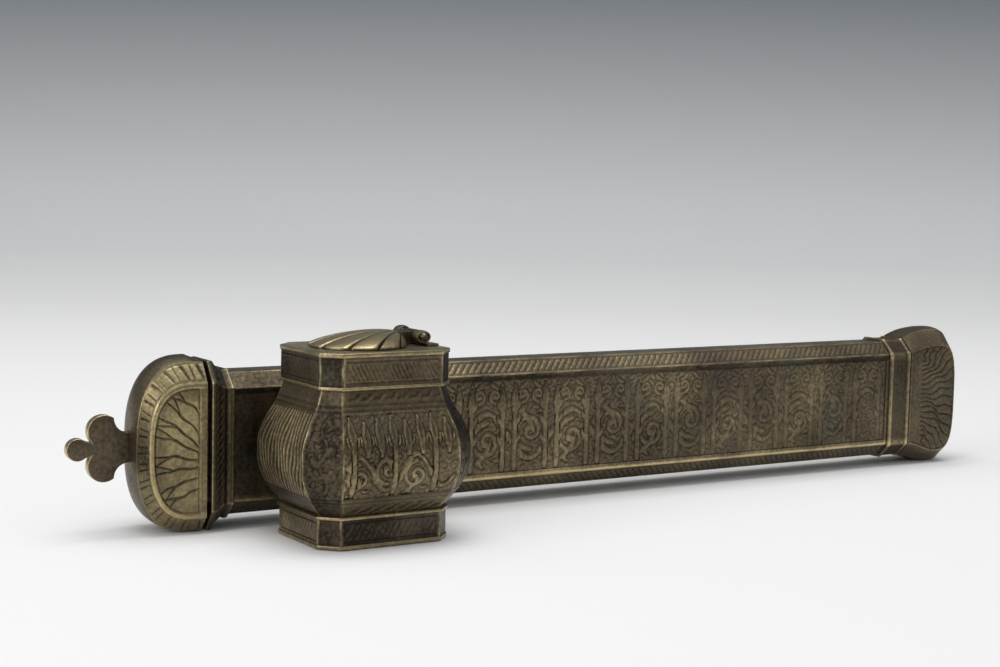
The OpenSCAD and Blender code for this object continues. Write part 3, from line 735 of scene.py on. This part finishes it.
outline_steps = 46
line_half = 0.26
foot_low, foot_high = box_mm("foot_front_plate")
foot_edge_h = tube_mid[2] - foot_low[2]
foot_run, foot_square = 11.5, 3.4
foot_round = foot_high[0] - foot_x - foot_run
foot_root = tube_half[2] - tube_chamfer + 0.33
foot_lap = tube_half[2] + ridge
build_end(
    (
        ("foot_front_dish", "foot_front_plate"), ("foot_back_dish", "foot_back_plate"),
        ("foot_strip", "foot_band"),
    ),
    (case_brass, case_brass), "case", "case_brass", np.asarray, seam_x=foot_x, way=1,
    face_y=foot_low[1], edge_y=foot_high[1],
    face=(foot_round - 1.4, foot_root, foot_edge_h - 4.3, foot_edge_h - 3.7, foot_root),
    edge=(foot_round, foot_lap, foot_edge_h + 0.1, foot_edge_h, foot_lap),
    crown=(0.6, 0.1, 0.7, 0, 0.1), form=(foot_run, foot_square, True), ring=0.4, strokes=0,
    fan_rim=1.0,
    fan=(np.linspace(-11.5, 11.5, 17), np.zeros(17), np.linspace(0.11, 0.89, 17), 5.0, 0.8, 0),
)

# Lid: the hinged end, made like the foot but shorter and blunter. Its plates have a palmette of
# wavy lines inside a bright ring, with short strokes cut across the slope round it.

hinge = next(joint for joint in frame["joints"] if joint["name"] == "lid_hinge")
hinge_at = np.array(hinge["pos_m"]) / MM
ajar = math.radians(hinge["range_deg"][0])
lid_brass = aged_brass(
    "lid_brass", (0.026, 0.02, 0.012), (0.21, 0.166, 0.085), (0.6, 0.49, 0.25), green=0.2
)


def turned_on_hinge(points):
    """Where a piece of the closed lid comes to rest with the lid ajar."""
    x, y = points[..., 0] - hinge_at[0], points[..., 1] - hinge_at[1]
    across, away = math.cos(ajar), math.sin(ajar)
    return np.stack([
        hinge_at[0] + x * across - y * away, hinge_at[1] + x * away + y * across, points[..., 2]
    ], -1)


lid_x = mouth_x - 0.25
build_end(
    (
        ("lid_front_dish", "lid_front_plate"), ("lid_back_dish", "lid_back_plate"),
        ("lid_strip", "lid_band"),
    ),
    (lid_brass, case_brass), "lid", "lid_brass", turned_on_hinge, seam_x=lid_x, way=-1,
    face_y=17.2, edge_y=21.0, face=(11.0, 15.5, 15.5, 16.7, 16.7),
    edge=(13.0, 20.3, 20.3, 20.35, 20.35), crown=(0.7, 0.2, 1.4, 0.1, 0.1), form=(3.0, 2.6, False),
    ring=1.15, strokes=1, fan_rim=0.93,
    fan=(
        (8.6, 3.7, 0.4, -0.8, -2.6, -4.3, -6.9, -9.6), (58, 56, 54, 30, 4, -16, -20, -24),
        (0.85, 0.77, 0.685, 0.585, 0.475, 0.385, 0.285, 0.2), 2.1, 0.35, 0.045,
    ),
)

# Thumb-piece: cut from thick cast brass with three lobes on a waisted stem, its edges filed round,
# and soldered into a slot in the lid's strip.

thumb_brass = aged_brass(
    "thumb_brass", (0.02, 0.016, 0.011), (0.15, 0.115, 0.074), (0.62, 0.5, 0.27), green=0.25
)
thumb_x = lid_x - 16.7
thumb_t = 2.4
thumb_round = 0.62
flat_wear, rim_wear = 0.28, 0.78


def arc(centre, radius, first, last, count):
    """Points along an arc, with its angles in degrees."""
    angle = np.radians(np.linspace(first, last, count))
    return centre + radius * np.column_stack([np.cos(angle), np.sin(angle)])


def new_verts(result):
    """The points that an extrusion has added."""
    return [item for item in result["geom"] if isinstance(item, bmesh.types.BMVert)]


def round_edges(bm, edges, size, segments=3, clamp=False):
    """Rounds edges of a piece by a size in mm."""
    bmesh.ops.bevel(
        bm, geom=edges, offset=size * MM, offset_type="OFFSET", affect="EDGES",
        segments=segments, profile=0.5, material=-1, clamp_overlap=clamp,
    )


upper = np.concatenate([
    [(-1.4, 3.2), (-0.2, 3.6)],
    arc((0, 7.19), 3.59, -90, 0, 10)[1:],
    arc((6.0, 4.1), 3.9, 121, -40, 20),
    arc((12.22, 0), 2.68, 131, 4, 14),
])
thumb_outline = np.concatenate([upper, (upper * (1, -1))[::-1]])
bm = bmesh.new()
front_rim = np.column_stack([
    thumb_x - thumb_outline[:, 0], np.full(len(thumb_outline), tube_mid[1] - thumb_t / 2),
    tube_mid[2] + thumb_outline[:, 1],
])
blank = bm.faces.new([bm.verts.new(Vector(point) * MM) for point in front_rim])
thick = bmesh.ops.extrude_face_region(bm, geom=[blank])
bmesh.ops.translate(bm, vec=(0, thumb_t * MM, 0), verts=new_verts(thick))
bmesh.ops.recalc_face_normals(bm, faces=bm.faces)
rims = [e for e in bm.edges if len({round(v.co.y, 6) for v in e.verts}) == 1]
round_edges(bm, rims, thumb_round, clamp=True)
bmesh.ops.triangulate(bm, faces=[f for f in bm.faces if len(f.verts) > 4])
rubbed_and_light = bm.verts.layers.float.new("wear_and_light")
for vert in bm.verts:
    on_flat = abs(vert.co.y / MM - tube_mid[1]) > thumb_t / 2 - 0.02
    vert[rubbed_and_light] = flat_wear if on_flat else rim_wear
    vert.co = Vector(turned_on_hinge(np.array(vert.co) / MM)) * MM
thumb = finished("thumb_lobes", bm, 50)
fit(thumb, thumb_brass, "lid", "thumb_brass", "thumb_piece")

# Lid hinge: two leaves of sheet brass rolled round a pin behind the seam, each held by two rivets,
# one to the case and one to the lid.

hinge_brass = aged_brass(
    "hinge_brass", (0.03, 0.024, 0.016), (0.15, 0.125, 0.08), (0.45, 0.37, 0.22),
    green=0.5, even=0.5,
)
rivet_brass = aged_brass(
    "rivet_brass", (0.03, 0.024, 0.016), (0.2, 0.165, 0.1), (0.5, 0.41, 0.24), even=0.62
)
refinish(hinge_brass, "case_hinge_leaf", "lid_hinge_leaf")
refinish(rivet_brass, "case_leaf_rivets", "lid_leaf_rivets", "lid_hinge_pin")

# Saddle: a flat strip of sheet brass between the inkwell and the case, with two rivets through all
# three.

# The saddle takes the darker brass painted as shade.
refinish(inner_brass, "inkwell_saddle")
refinish(rivet_brass, "inkwell_rivets")

# Inkwell body: sheet brass raised to eight upright sides. The plinth and neck are straight bands
# with slanting strokes, and the belly swells between them and is chased on every side.

plinth_low, plinth_high = box_mm("inkwell_plinth")
belly_low, belly_high = box_mm("inkwell_belly")
well_half = (plinth_high - plinth_low) / 2
well_chamfer = 4.0
straight_front, straight_side = well_half[:2] - well_chamfer
inkwell_brass = aged_brass(
    "inkwell_brass", (0.024, 0.018, 0.012), (0.152, 0.118, 0.068), (0.54, 0.44, 0.23), green=0.25
)


def well_round(outset, back, steps, soften=0.4):
    """Section of the inkwell, set out from its plinth by one amount in front and at the ends, and
    by another at the back."""
    leg, back_leg = (well_chamfer + leg_per_lift * out for out in (outset, back))
    corners = eight_corners(well_half[0] + outset, well_half[1] + outset, leg, leg)
    rear = eight_corners(well_half[0] + outset, well_half[1] + back, back_leg, back_leg)
    corners[3:7] = rear[3:7]
    return walk(corners, steps, soften)


def well_wall(name, heights, outsets, flatter, steps, engrave):
    """A wall of the inkwell, cut by engrave(side, place, height share, height), one sheet thick
    and flatter at its back."""
    rings, wears = [], []
    for z, outset in zip(heights, outsets):
        ring = well_round(outset, flatter * outset, steps)
        share = (z - heights[0]) / (heights[-1] - heights[0])
        cut, wear_and_light = engrave(ring[:, 4], ring[:, 5], share, z)
        handled = 0.65 + 0.35 * np.sin(0.9 * z + 2.1 * ring[:, 4])
        wear_and_light = wear_and_light + (0.85 - wear_and_light) * 0.75 * handled * valley(ring[:, 6], 0.4)
        rings.append(np.column_stack([
            ring[:, 0] - cut * ring[:, 2], ring[:, 1] - cut * ring[:, 3], np.full(len(ring), z)
        ]))
        wears.append(wear_and_light)
    for k in [*range(len(heights) - 1, 0, -6), 0]:
        ring = well_round(outsets[k] - sheet, flatter * outsets[k] - sheet, steps, 0.2)
        rings.append(np.column_stack([ring[:, 0], ring[:, 1], np.full(len(ring), heights[k])]))
        wears.append(np.full(len(ring), 0.05))
    return skin(name, np.array(rings), np.array(wears))


def hatched(pitch, lean, face_tones_and_light):
    """Slanting strokes inside a ruled border, as on the plinth and neck. The front, the chamfers
    and the ends each take a tone that is partly wear and partly painted light, and painted shade
    darkens the band where it meets its mouldings."""
    def engrave(side, place, share, z):
        flat, long_side = side % 2 == 0, side % 4 == 0
        half = np.where(long_side, straight_front, straight_side)
        away, rise = np.abs(place), abs(share - 0.5)
        strokes = cuts_every(place + lean * share, pitch, 0.36)
        strokes = strokes * (flat & (away < half - 1.6) & (rise < 0.3))
        strokes = strokes * (0.68 + 0.32 * np.sin(0.6 * place + 2.0 * side))
        upright = valley(away - (half - 1.1), 0.3) * (rise < 0.42)
        level = valley(rise - 0.37, 0.05) * (away < half - 0.9)
        rule = np.maximum(upright, level) * flat
        cut = np.maximum(stroke_depth * strokes, rule_depth * rule)
        tone = np.where(flat, np.where(long_side, face_tones_and_light[0], face_tones_and_light[2]), face_tones_and_light[1])
        # Painted shade where the band meets its mouldings.
        return cut, tone - 1.1 * cut - 0.1 * valley(rise - 0.5, 0.12)
    return engrave


band_steps = [96, 14, 78, 14, 96, 14, 78, 14]
# Each band's tones for front, chamfers and ends are partly wear and partly painted light; the
# plinth's ends are painted lightest.
for name, node, pitch, lean, face_tones_and_light in (
    ("inkwell_plinth_band", "inkwell_plinth", 1.5, -3.4, (0.14, 0.22, 0.6)),
    ("inkwell_neck_band", "inkwell_neck", 1.15, 3.6, (0.42, 0.0, 0.27)),
):
    low, high = box_mm(node)
    heights = np.linspace(low[2], high[2], 31)
    band = well_wall(name, heights, 0 * heights, 1, band_steps, hatched(pitch, lean, face_tones_and_light))
    fit(band, inkwell_brass, "case", "inkwell_brass", node)

belly_height = belly_high[2] - belly_low[2]
bulge = belly_high[0] - well_half[0]
back_bulge = belly_high[1] - well_half[1]
belly_heights = np.linspace(belly_low[2], belly_high[2], 100)
belly_shares = np.linspace(0, 1, 401)
swell = np.interp(
    belly_shares,
    [0, 0.07, 0.148, 0.234, 0.302, 0.354, 0.526, 0.594, 0.68, 0.766, 0.835, 0.869, 0.935, 1],
    [-0.09, 0.24, 0.58, 0.81, 0.93, 1, 1, 0.92, 0.73, 0.47, 0.23, 0.15, 0, -0.135],
)
swell = np.convolve(np.pad(swell, 10, mode="edge"), np.full(21, 1 / 21), "valid")
belly_out = bulge * np.interp(np.linspace(0, 1, 100), belly_shares, swell)
belly_panel = (0.17, 0.815)
panel_rise = belly_height * (belly_panel[1] - belly_panel[0]) / 2
panel_centre = belly_low[2] + belly_height * sum(belly_panel) / 2


def well_front_strokes(half):
    """A vine, and the spear leaves over it, for the front and back of the belly."""
    run = np.linspace(0.5 - half, half - 0.5, 48)
    behind = vine_strokes(run, 15.0, -0.42 * panel_rise, 0.44 * panel_rise, 0.46)
    over, veins = [], []
    for k, u in enumerate(np.linspace(-0.86 * half, 0.86 * half, 8)):
        tip = (0.95, 0.8, 0.9)[k % 3] * panel_rise
        if k % 3 == 0:
            over.append(spear(u, -0.94 * panel_rise, tip, 0.66))
        else:
            over.append(leaf(u, 0.02 * panel_rise, 90, tip, 0.95))
        veins.append(leaf(u, tip - 0.58 * panel_rise, 90, 0.5 * panel_rise, 0.42))
        for way in (-1, 1):
            behind.append(
                leaf(u + 0.3 * way, 0.2 * panel_rise, 90 - 44 * way, 3.0, 0.45, 0.6 * way)
            )
    return behind, over, veins


def sprig_strokes(height):
    """A swaying stem with a leaf and a curl in each bend, for the narrow upright panels."""
    climb = np.linspace(-height, height, 36)
    strokes = [(np.column_stack([0.9 * np.sin(0.75 * climb), climb]), 0.3)]
    for k, v in enumerate(np.linspace(-0.84 * height, 0.84 * height, 6)):
        way = 1 if k % 2 else -1
        strokes += curl(1.9 * way, v + 0.6, 1.35, 1.2, math.pi / 2 + way * 1.6, way, 0.3)
        strokes.append(leaf(0.4 * way, v - 1.1, 90 - 62 * way, 3.4, 0.62, 0.6 * way))
    return strokes


well_behind, well_over, well_veins = well_front_strokes(straight_front + 1.4)
sprigs = sprig_strokes(panel_rise - 0.8)
shoulder_leaves = [
    leaf(u, -0.7, 62 if k % 2 else 28, 2.3, 0.42, -0.5)
    for k, u in enumerate(np.linspace(-straight_front + 1.5, straight_front - 2.5, 15))
]


def engrave_belly(side, place, share, z):
    """Cuts and wear of one ring of the belly, with its chamfers painted darker as shade."""
    v = np.full(place.shape, z - panel_centre)
    low_edge, high_edge = share - belly_panel[0], belly_panel[1] - share
    edge_gap = min(low_edge, high_edge)
    rule = valley(low_edge + 0.02, 0.012) + valley(low_edge + 0.05, 0.01)
    rule += valley(high_edge + 0.02, 0.012) + valley(high_edge + 0.06, 0.01)
    cut = np.full(place.shape, 0.16 * rule)
    wear_and_light = np.full(place.shape, 0.4 - 0.2 * rule)
    front, chamfer, reed_side = side % 4 == 0, side % 2 == 1, side % 4 == 2
    # The chamfers are painted darker as shade, and the front a little lighter.
    wear_and_light = wear_and_light + 0.05 * front - 0.22 * chamfer
    half = np.where(front, np.abs(place[front]).max(), np.abs(place[reed_side]).max())
    if edge_gap > 0:
        ahead = inside_strokes(place, v, well_over)
        inside = np.where(ahead > -0.36, ahead, inside_strokes(place, v, well_behind))
        inside = np.where(chamfer, inside_strokes(place, v, sprigs), inside)
        rise = raised(inside, 0.22)
        outline = valley(inside + 0.22, 0.24)
        fine = scroll_ground(place, v, 3.1) * (1 - rise) * (1 - outline)
        vein = raised(inside_strokes(place, v, well_veins)) * front
        relief = np.maximum((1 - rise) * (0.36 - 0.14 * fine) + 0.12 * outline, 0.2 * vein)
        tone = 0.39 + 0.2 * rise + 0.12 * fine - 0.2 * outline - 0.2 * vein
        # Painted shade: the chamfers' relief is darker too.
        tone = tone - chamfer * (0.25 + 0.12 * rise - 0.1 * outline)
        gather = place * (1 + 0.22 * (v / panel_rise) ** 2)
        reeds = cuts_every(gather + 0.35 * np.sin(v * 0.5 + 0.6 * place), 1.7, 0.7)
        relief = np.where(reed_side, 0.3 * reeds, relief * np.where(chamfer, 0.65, 1))
        tone = np.where(reed_side, 0.68 - 0.6 * reeds, tone)
        border = valley(np.abs(place) - (half - 0.8), 0.35) * ~chamfer
        bound = np.where(chamfer, np.abs(place[chamfer]).max() - 1.1, half - 0.9)
        relief = np.maximum(relief * (np.abs(place) < bound), 0.2 * border)
        framed = (np.abs(place) < half - 0.5) | chamfer
        cut = np.where(framed, relief, cut)
        wear_and_light = np.where(framed, tone, wear_and_light)
    elif edge_gap < -0.07:
        middle = 0.945 if share > 0.5 else 0.048
        v = np.full(place.shape, z - belly_low[2] - middle * belly_height)
        shoulder = raised(inside_strokes(place, v, shoulder_leaves)) * front
        cut, wear_and_light = cut + 0.16 * shoulder, wear_and_light - 0.2 * shoulder
    return cut, wear_and_light


belly_steps = [108, 30, 88, 30, 108, 30, 88, 30]
belly = well_wall(
    "inkwell_belly_chased", belly_heights, belly_out, back_bulge / bulge, belly_steps, engrave_belly
)
fit(belly, inkwell_brass, "case", "inkwell_brass", "inkwell_belly")

# Plates and mouldings of the inkwell: cut from thicker sheet, filed round at the edge and soldered
# on. The top plate has the round mouth for the ink.

plate_brass = aged_brass(
    "plate_brass", (0.03, 0.024, 0.016), (0.2, 0.163, 0.096), (0.56, 0.45, 0.24), even=0.64
)


def edge_loop(bm, path, z):
    """A closed run of edges through points at one height."""
    verts = [bm.verts.new((x * MM, y * MM, z * MM)) for x, y in path]
    return [bm.edges.new((a, b)) for a, b in zip(verts, verts[1:] + verts[:1])]


def well_plate(name, node, hole, soften):
    """A plate or ring of the inkwell, as wide and thick as its node, with a hole or without."""
    low, high = box_mm(node)
    outset = (high[0] - low[0]) / 2 - well_half[0]
    leg = well_chamfer + leg_per_lift * outset
    half_x, half_y = well_half[:2] + outset
    bm = bmesh.new()
    rim = edge_loop(bm, eight_corners(half_x, half_y, leg, leg), low[2])
    if hole is None:
        bmesh.ops.contextual_create(bm, geom=rim)
    else:
        bmesh.ops.bridge_loops(bm, edges=rim + edge_loop(bm, hole, low[2]))
    thick = bmesh.ops.extrude_face_region(bm, geom=bm.faces[:])
    bmesh.ops.translate(bm, vec=(0, 0, (high[2] - low[2]) * MM), verts=new_verts(thick))
    bmesh.ops.recalc_face_normals(bm, faces=bm.faces)
    clear_x, clear_y = (half_x - leg - 0.01) * MM, (half_y - leg - 0.01) * MM
    on_rim = {v for v in bm.verts if abs(v.co.x) > clear_x and abs(v.co.y) > clear_y}
    round_edges(bm, [e for e in bm.edges if on_rim.issuperset(e.verts)], soften)
    fit(finished(name, bm, 40), plate_brass, "case", "moulding_brass", node)


bore_inset, bore_leg = 1.4, well_chamfer - 0.8
wall_bore = eight_corners(*(well_half[:2] - bore_inset), bore_leg, bore_leg)
ink_mouth = arc((-2.05, 0), 7.0, 0, 345, 24)
well_plate("inkwell_base_plate", "inkwell_floor", None, 0.3)
well_plate("inkwell_lower_bead", "inkwell_lower_moulding", wall_bore, 0.25)
well_plate("inkwell_upper_bead", "inkwell_upper_moulding", wall_bore, 0.25)
well_plate("inkwell_table", "inkwell_top_plate", ink_mouth, 0.28)

# Hinge of the shell: a plate on the inkwell's table with two rolled knuckles, a pin through them,
# and the tongue that carries the shell turning between them.

refinish(rivet_brass, "shell_plate_rivets")
# The pin and the tongue take the darker brass, painted as the shade inside the knuckles.
refinish(inner_brass, "shell_hinge_pin", "shell_tongue")
shell_hinge = next(joint for joint in frame["joints"] if joint["name"] == "shell_lid_hinge")
shell_axis = np.array(shell_hinge["pos_m"]) / MM
table_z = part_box("inkwell_top_plate")[1].z / MM
leaf_low, leaf_high = box_mm("shell_hinge_plate")
leaf_x = shell_axis[0] + 0.9
leaf_t, leaf_soften = 0.6, 0.15
knuckle_w, knuckle_t, knuckle_steps = 3.2, 0.3, 8
knuckle_r = leaf_high[2] - shell_axis[2] - 0.1
coil_end_r = 0.85
front_press = 0.78
bm = bmesh.new()
turns = np.linspace(-80, 430, 56)
radii = np.interp(turns, [-80, 250, 310, 430], [knuckle_r, knuckle_r, knuckle_r - 0.45, coil_end_r])
for start_y in (leaf_low[1], leaf_high[1] - knuckle_w):
    coil = []
    for a, r in zip(np.radians(turns), radii):
        point = (shell_axis[0] + r * math.cos(a), start_y, shell_axis[2] + r * math.sin(a))
        coil.append(bm.verts.new(Vector(point) * MM))
    edges = [bm.edges.new(pair) for pair in zip(coil, coil[1:])]
    for _ in range(knuckle_steps):
        wide = bmesh.ops.extrude_edge_only(bm, edges=edges)
        rolled = new_verts(wide)
        edges = [
            item for item in wide["geom"]
            if isinstance(item, bmesh.types.BMEdge) and set(rolled).issuperset(item.verts)
        ]
        bmesh.ops.translate(bm, vec=(0, knuckle_w / knuckle_steps * MM, 0), verts=rolled)
# Each loop is a little slimmer at its ends, and the front one is pressed flatter.
for vert in bm.verts:
    out = abs(abs(vert.co.y / MM) - leaf_high[1] + knuckle_w / 2) / (knuckle_w / 2)
    slim = math.sqrt(1 - 0.22 * out * out)
    press = front_press if vert.co.y < 0 else 1.0
    vert.co.x = (shell_axis[0] + (vert.co.x / MM - shell_axis[0]) * slim) * MM
    vert.co.z = (shell_axis[2] + (vert.co.z / MM - shell_axis[2]) * slim * press) * MM
bmesh.ops.recalc_face_normals(bm, faces=bm.faces)
bmesh.ops.solidify(bm, geom=bm.faces[:], thickness=knuckle_t * MM)
leaf_middle = Vector(((leaf_x + leaf_high[0]) / 2, 0, table_z + leaf_t / 2)) * MM
leaf_size = Vector((leaf_high[0] - leaf_x, leaf_high[1] - leaf_low[1], leaf_t)) * MM
sheet_leaf = bmesh.ops.create_cube(
    bm, size=1, matrix=Matrix.Translation(leaf_middle) @ Matrix.Diagonal((*leaf_size, 1))
)
leaf_verts = set(sheet_leaf["verts"])
leaf_edges = [e for e in bm.edges if leaf_verts.issuperset(e.verts)]
round_edges(bm, leaf_edges, leaf_soften, segments=2)
bmesh.ops.recalc_face_normals(bm, faces=bm.faces)
scrolls = finished("shell_hinge_scrolls", bm, 40)
fit(scrolls, hinge_brass, "case", "hinge_brass", "shell_hinge_plate")

# Shell: the inkwell's lid, a thin cast shell with nine flat ribs that fan out from the hinge, fixed
# to the hinge's tongue.

shell_brass = aged_brass(
    "shell_brass", (0.026, 0.02, 0.012), (0.25, 0.198, 0.108), (0.62, 0.51, 0.28), green=0.4
)
shell_root_x = shell_axis[0] - 3.0
shell_len = shell_root_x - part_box("shell_lid")[0].x / MM
shell_height, shell_wall = 4.2, 0.9
rim_height, least_height = 0.55, 0.42
shell_ribs = 9
shell_turn = math.radians(78)
turn, share = np.meshgrid(
    np.linspace(-shell_turn, shell_turn, 24 * shell_ribs + 1),
    1 - (1 - np.linspace(0.0, 1, 41)) ** 1.4,
)
share = 0.12 + 0.88 * share
phase = shell_ribs * (turn / shell_turn + 1) / 2 % 1
from_groove = np.minimum(phase, 1 - phase)
groove = valley(from_groove, 0.1)
blade = 1 - (1 - 2 * from_groove) ** 8
dome = np.maximum(1 - share**2, 0) ** 0.8 * (1 - 0.3 * (1 - share) ** 6)
ribbed = 0.1 * blade - 0.36 * groove
shell_z = rim_height + (shell_height - rim_height) * dome * np.sqrt(np.cos(turn)) + ribbed * share
shell_z = np.maximum(shell_z, least_height)
scallop = 1 - 0.04 * (1 - blade) * share**4
span = share * shell_len * np.cos(turn) * scallop
shell_top = np.stack([
    shell_root_x - span * np.cos(turn), span * np.sin(turn), table_z + shell_z
], 2)
shell_under = shell_top.copy()
shell_under[:, 1:-1, 2] = table_z + np.maximum(0.06, shell_z - shell_wall)[:, 1:-1]
# Painted shade: one half of each blade is darker, as the shade beside the next blade. The grooves
# are dark.
shaded = np.clip((phase - 0.5) / 0.4, 0, 1)
shell_wear_and_shade = 0.63 - 0.22 * shaded - 0.85 * groove
shell = skin(
    "inkwell_shell", np.concatenate([shell_top, shell_under[::-1]]),
    np.concatenate([shell_wear_and_shade, 0 * shell_wear_and_shade]), sharp=60,
)
fit(shell, shell_brass, "inkwell_lid", "shell_brass", "shell_lid")

# Stage: a pale sweep of floor and backdrop, whose colour is painted lighter and darker for how
# light falls on it, darkest far in front and high up the backdrop; two soft lamps, a sky that is
# brighter above, and a camera that was fitted to the photograph.

floor_start, bend_y, bend_r, back_z = -2.5, 1.3, 0.6, 2.4
sweep_half_w = 3.0
below_part = 0.0002
facing = math.radians(-32.4)
profile = [(floor_start, 0.0), (bend_y, 0.0)]
profile += [
    (bend_y + bend_r * math.sin(a), bend_r * (1 - math.cos(a)))
    for a in np.linspace(0.1, math.pi / 2, 14)
]
profile.append((bend_y + bend_r, back_z))
sweep = bmesh.new()
verts = [sweep.verts.new((-sweep_half_w, y, z - below_part)) for y, z in profile]
edges = [sweep.edges.new(pair) for pair in zip(verts, verts[1:])]
wide = bmesh.ops.extrude_edge_only(sweep, edges=edges)
bmesh.ops.translate(sweep, vec=(2 * sweep_half_w, 0, 0), verts=new_verts(wide))
bmesh.ops.rotate(sweep, matrix=Matrix.Rotation(facing, 3, "Z"), verts=sweep.verts)
bmesh.ops.recalc_face_normals(sweep, faces=sweep.faces)
if sum(face.normal.z for face in sweep.faces) < 0:
    bmesh.ops.reverse_faces(sweep, faces=sweep.faces)
backdrop = finished("sweep", sweep, 180)
paper = bpy.data.materials.new("sweep_paper")
paper.use_nodes = True
tree = paper.node_tree
where = tree.nodes.new("ShaderNodeTexCoord").outputs["Object"]


def distance_along(depth, height):
    """A weighted sum of how far back and how high a place on the sweep is."""
    weights = (-depth * math.sin(facing), depth * math.cos(facing), height)
    node = add_node(
        tree, "ShaderNodeVectorMath", {0: where, 1: weights}, operation="DOT_PRODUCT"
    )
    return node.outputs["Value"]


# Painted fall of light: the sweep darkens with distance in front and with height up the backdrop.
near = add_node(
    tree, "ShaderNodeMath", {0: distance_along(-4.0, 0.0), 1: 1.6}, operation="SUBTRACT"
)
away = add_node(
    tree, "ShaderNodeMath", {0: distance_along(0.85, 6.0), 1: near.outputs[0]}, operation="MAXIMUM"
)
fall = add_node(
    tree, "ShaderNodeMapRange", {"Value": away.outputs[0], "From Min": 0.2, "From Max": 3.4}
)
shade = add_ramp(tree, fall.outputs["Result"], [
    (0.0, (0.877, 0.872, 0.869)), (0.12, (0.845, 0.84, 0.828)), (0.18, (0.895, 0.89, 0.878)),
    (0.25, (0.975, 0.97, 0.958)), (0.29, (1.0, 0.995, 0.985)), (0.34, (0.96, 0.955, 0.948)),
    (0.45, (0.872, 0.877, 0.885)), (1.0, (0.31, 0.335, 0.355)),
])
surface = tree.nodes["Principled BSDF"]
tree.links.new(shade, surface.inputs["Base Color"])
surface.inputs["Roughness"].default_value = 0.9
surface.inputs["Specular IOR Level"].default_value = 0.1
backdrop.data.materials.append(paper)

world = bpy.data.worlds.new("studio")
bpy.context.scene.world = world
world.use_nodes = True
sky = world.node_tree
upward = sky.nodes.new("ShaderNodeTexCoord").outputs["Generated"]
split = add_node(sky, "ShaderNodeSeparateXYZ", {0: upward})
glow = add_ramp(sky, split.outputs["Z"], [(0.0, (0.08, 0.083, 0.086)), (0.8, (0.97, 0.98, 1.0))])
sky.links.new(glow, sky.nodes["Background"].inputs["Color"])
sky.nodes["Background"].inputs["Strength"].default_value = 0.72


def soft_lamp(name, place, aim, width, depth, power):
    """A rectangular softbox that faces a point."""
    lamp = bpy.data.lights.new(name, "AREA")
    lamp.shape = "RECTANGLE"
    lamp.size, lamp.size_y, lamp.energy = width, depth, power
    stand = bpy.data.objects.new(name, lamp)
    bpy.context.scene.collection.objects.link(stand)
    stand.location = place
    stand.rotation_euler = (Vector(aim) - Vector(place)).to_track_quat("-Z", "Y").to_euler()


soft_lamp("top_lamp", (0.08, 0.05, 1.15), (0.08, 0.05, 0.0), 0.9, 0.7, 7.0)
soft_lamp("left_lamp", (-0.9, -0.15, 0.36), (0.0, 0.0, 0.03), 0.7, 0.6, 3.0)

camera_at = (-0.19998, -0.37449, 0.08926)
camera_turn, camera_tilt, camera_roll = -32.425, 90 - 5.411, 1.3
lens = bpy.data.cameras.new("camera")
lens.sensor_fit = "HORIZONTAL"
lens.sensor_width, lens.lens = 36.0, 64.42
lens.clip_start = 0.01
camera = bpy.data.objects.new("camera", lens)
bpy.context.scene.collection.objects.link(camera)
camera.matrix_world = (
    Matrix.Translation(camera_at)
    @ Matrix.Rotation(math.radians(camera_turn), 4, "Z")
    @ Matrix.Rotation(math.radians(camera_tilt), 4, "X")
    @ Matrix.Rotation(math.radians(camera_roll), 4, "Z")
)
bpy.context.scene.camera = camera
bpy.context.scene.view_settings.view_transform = "Standard"
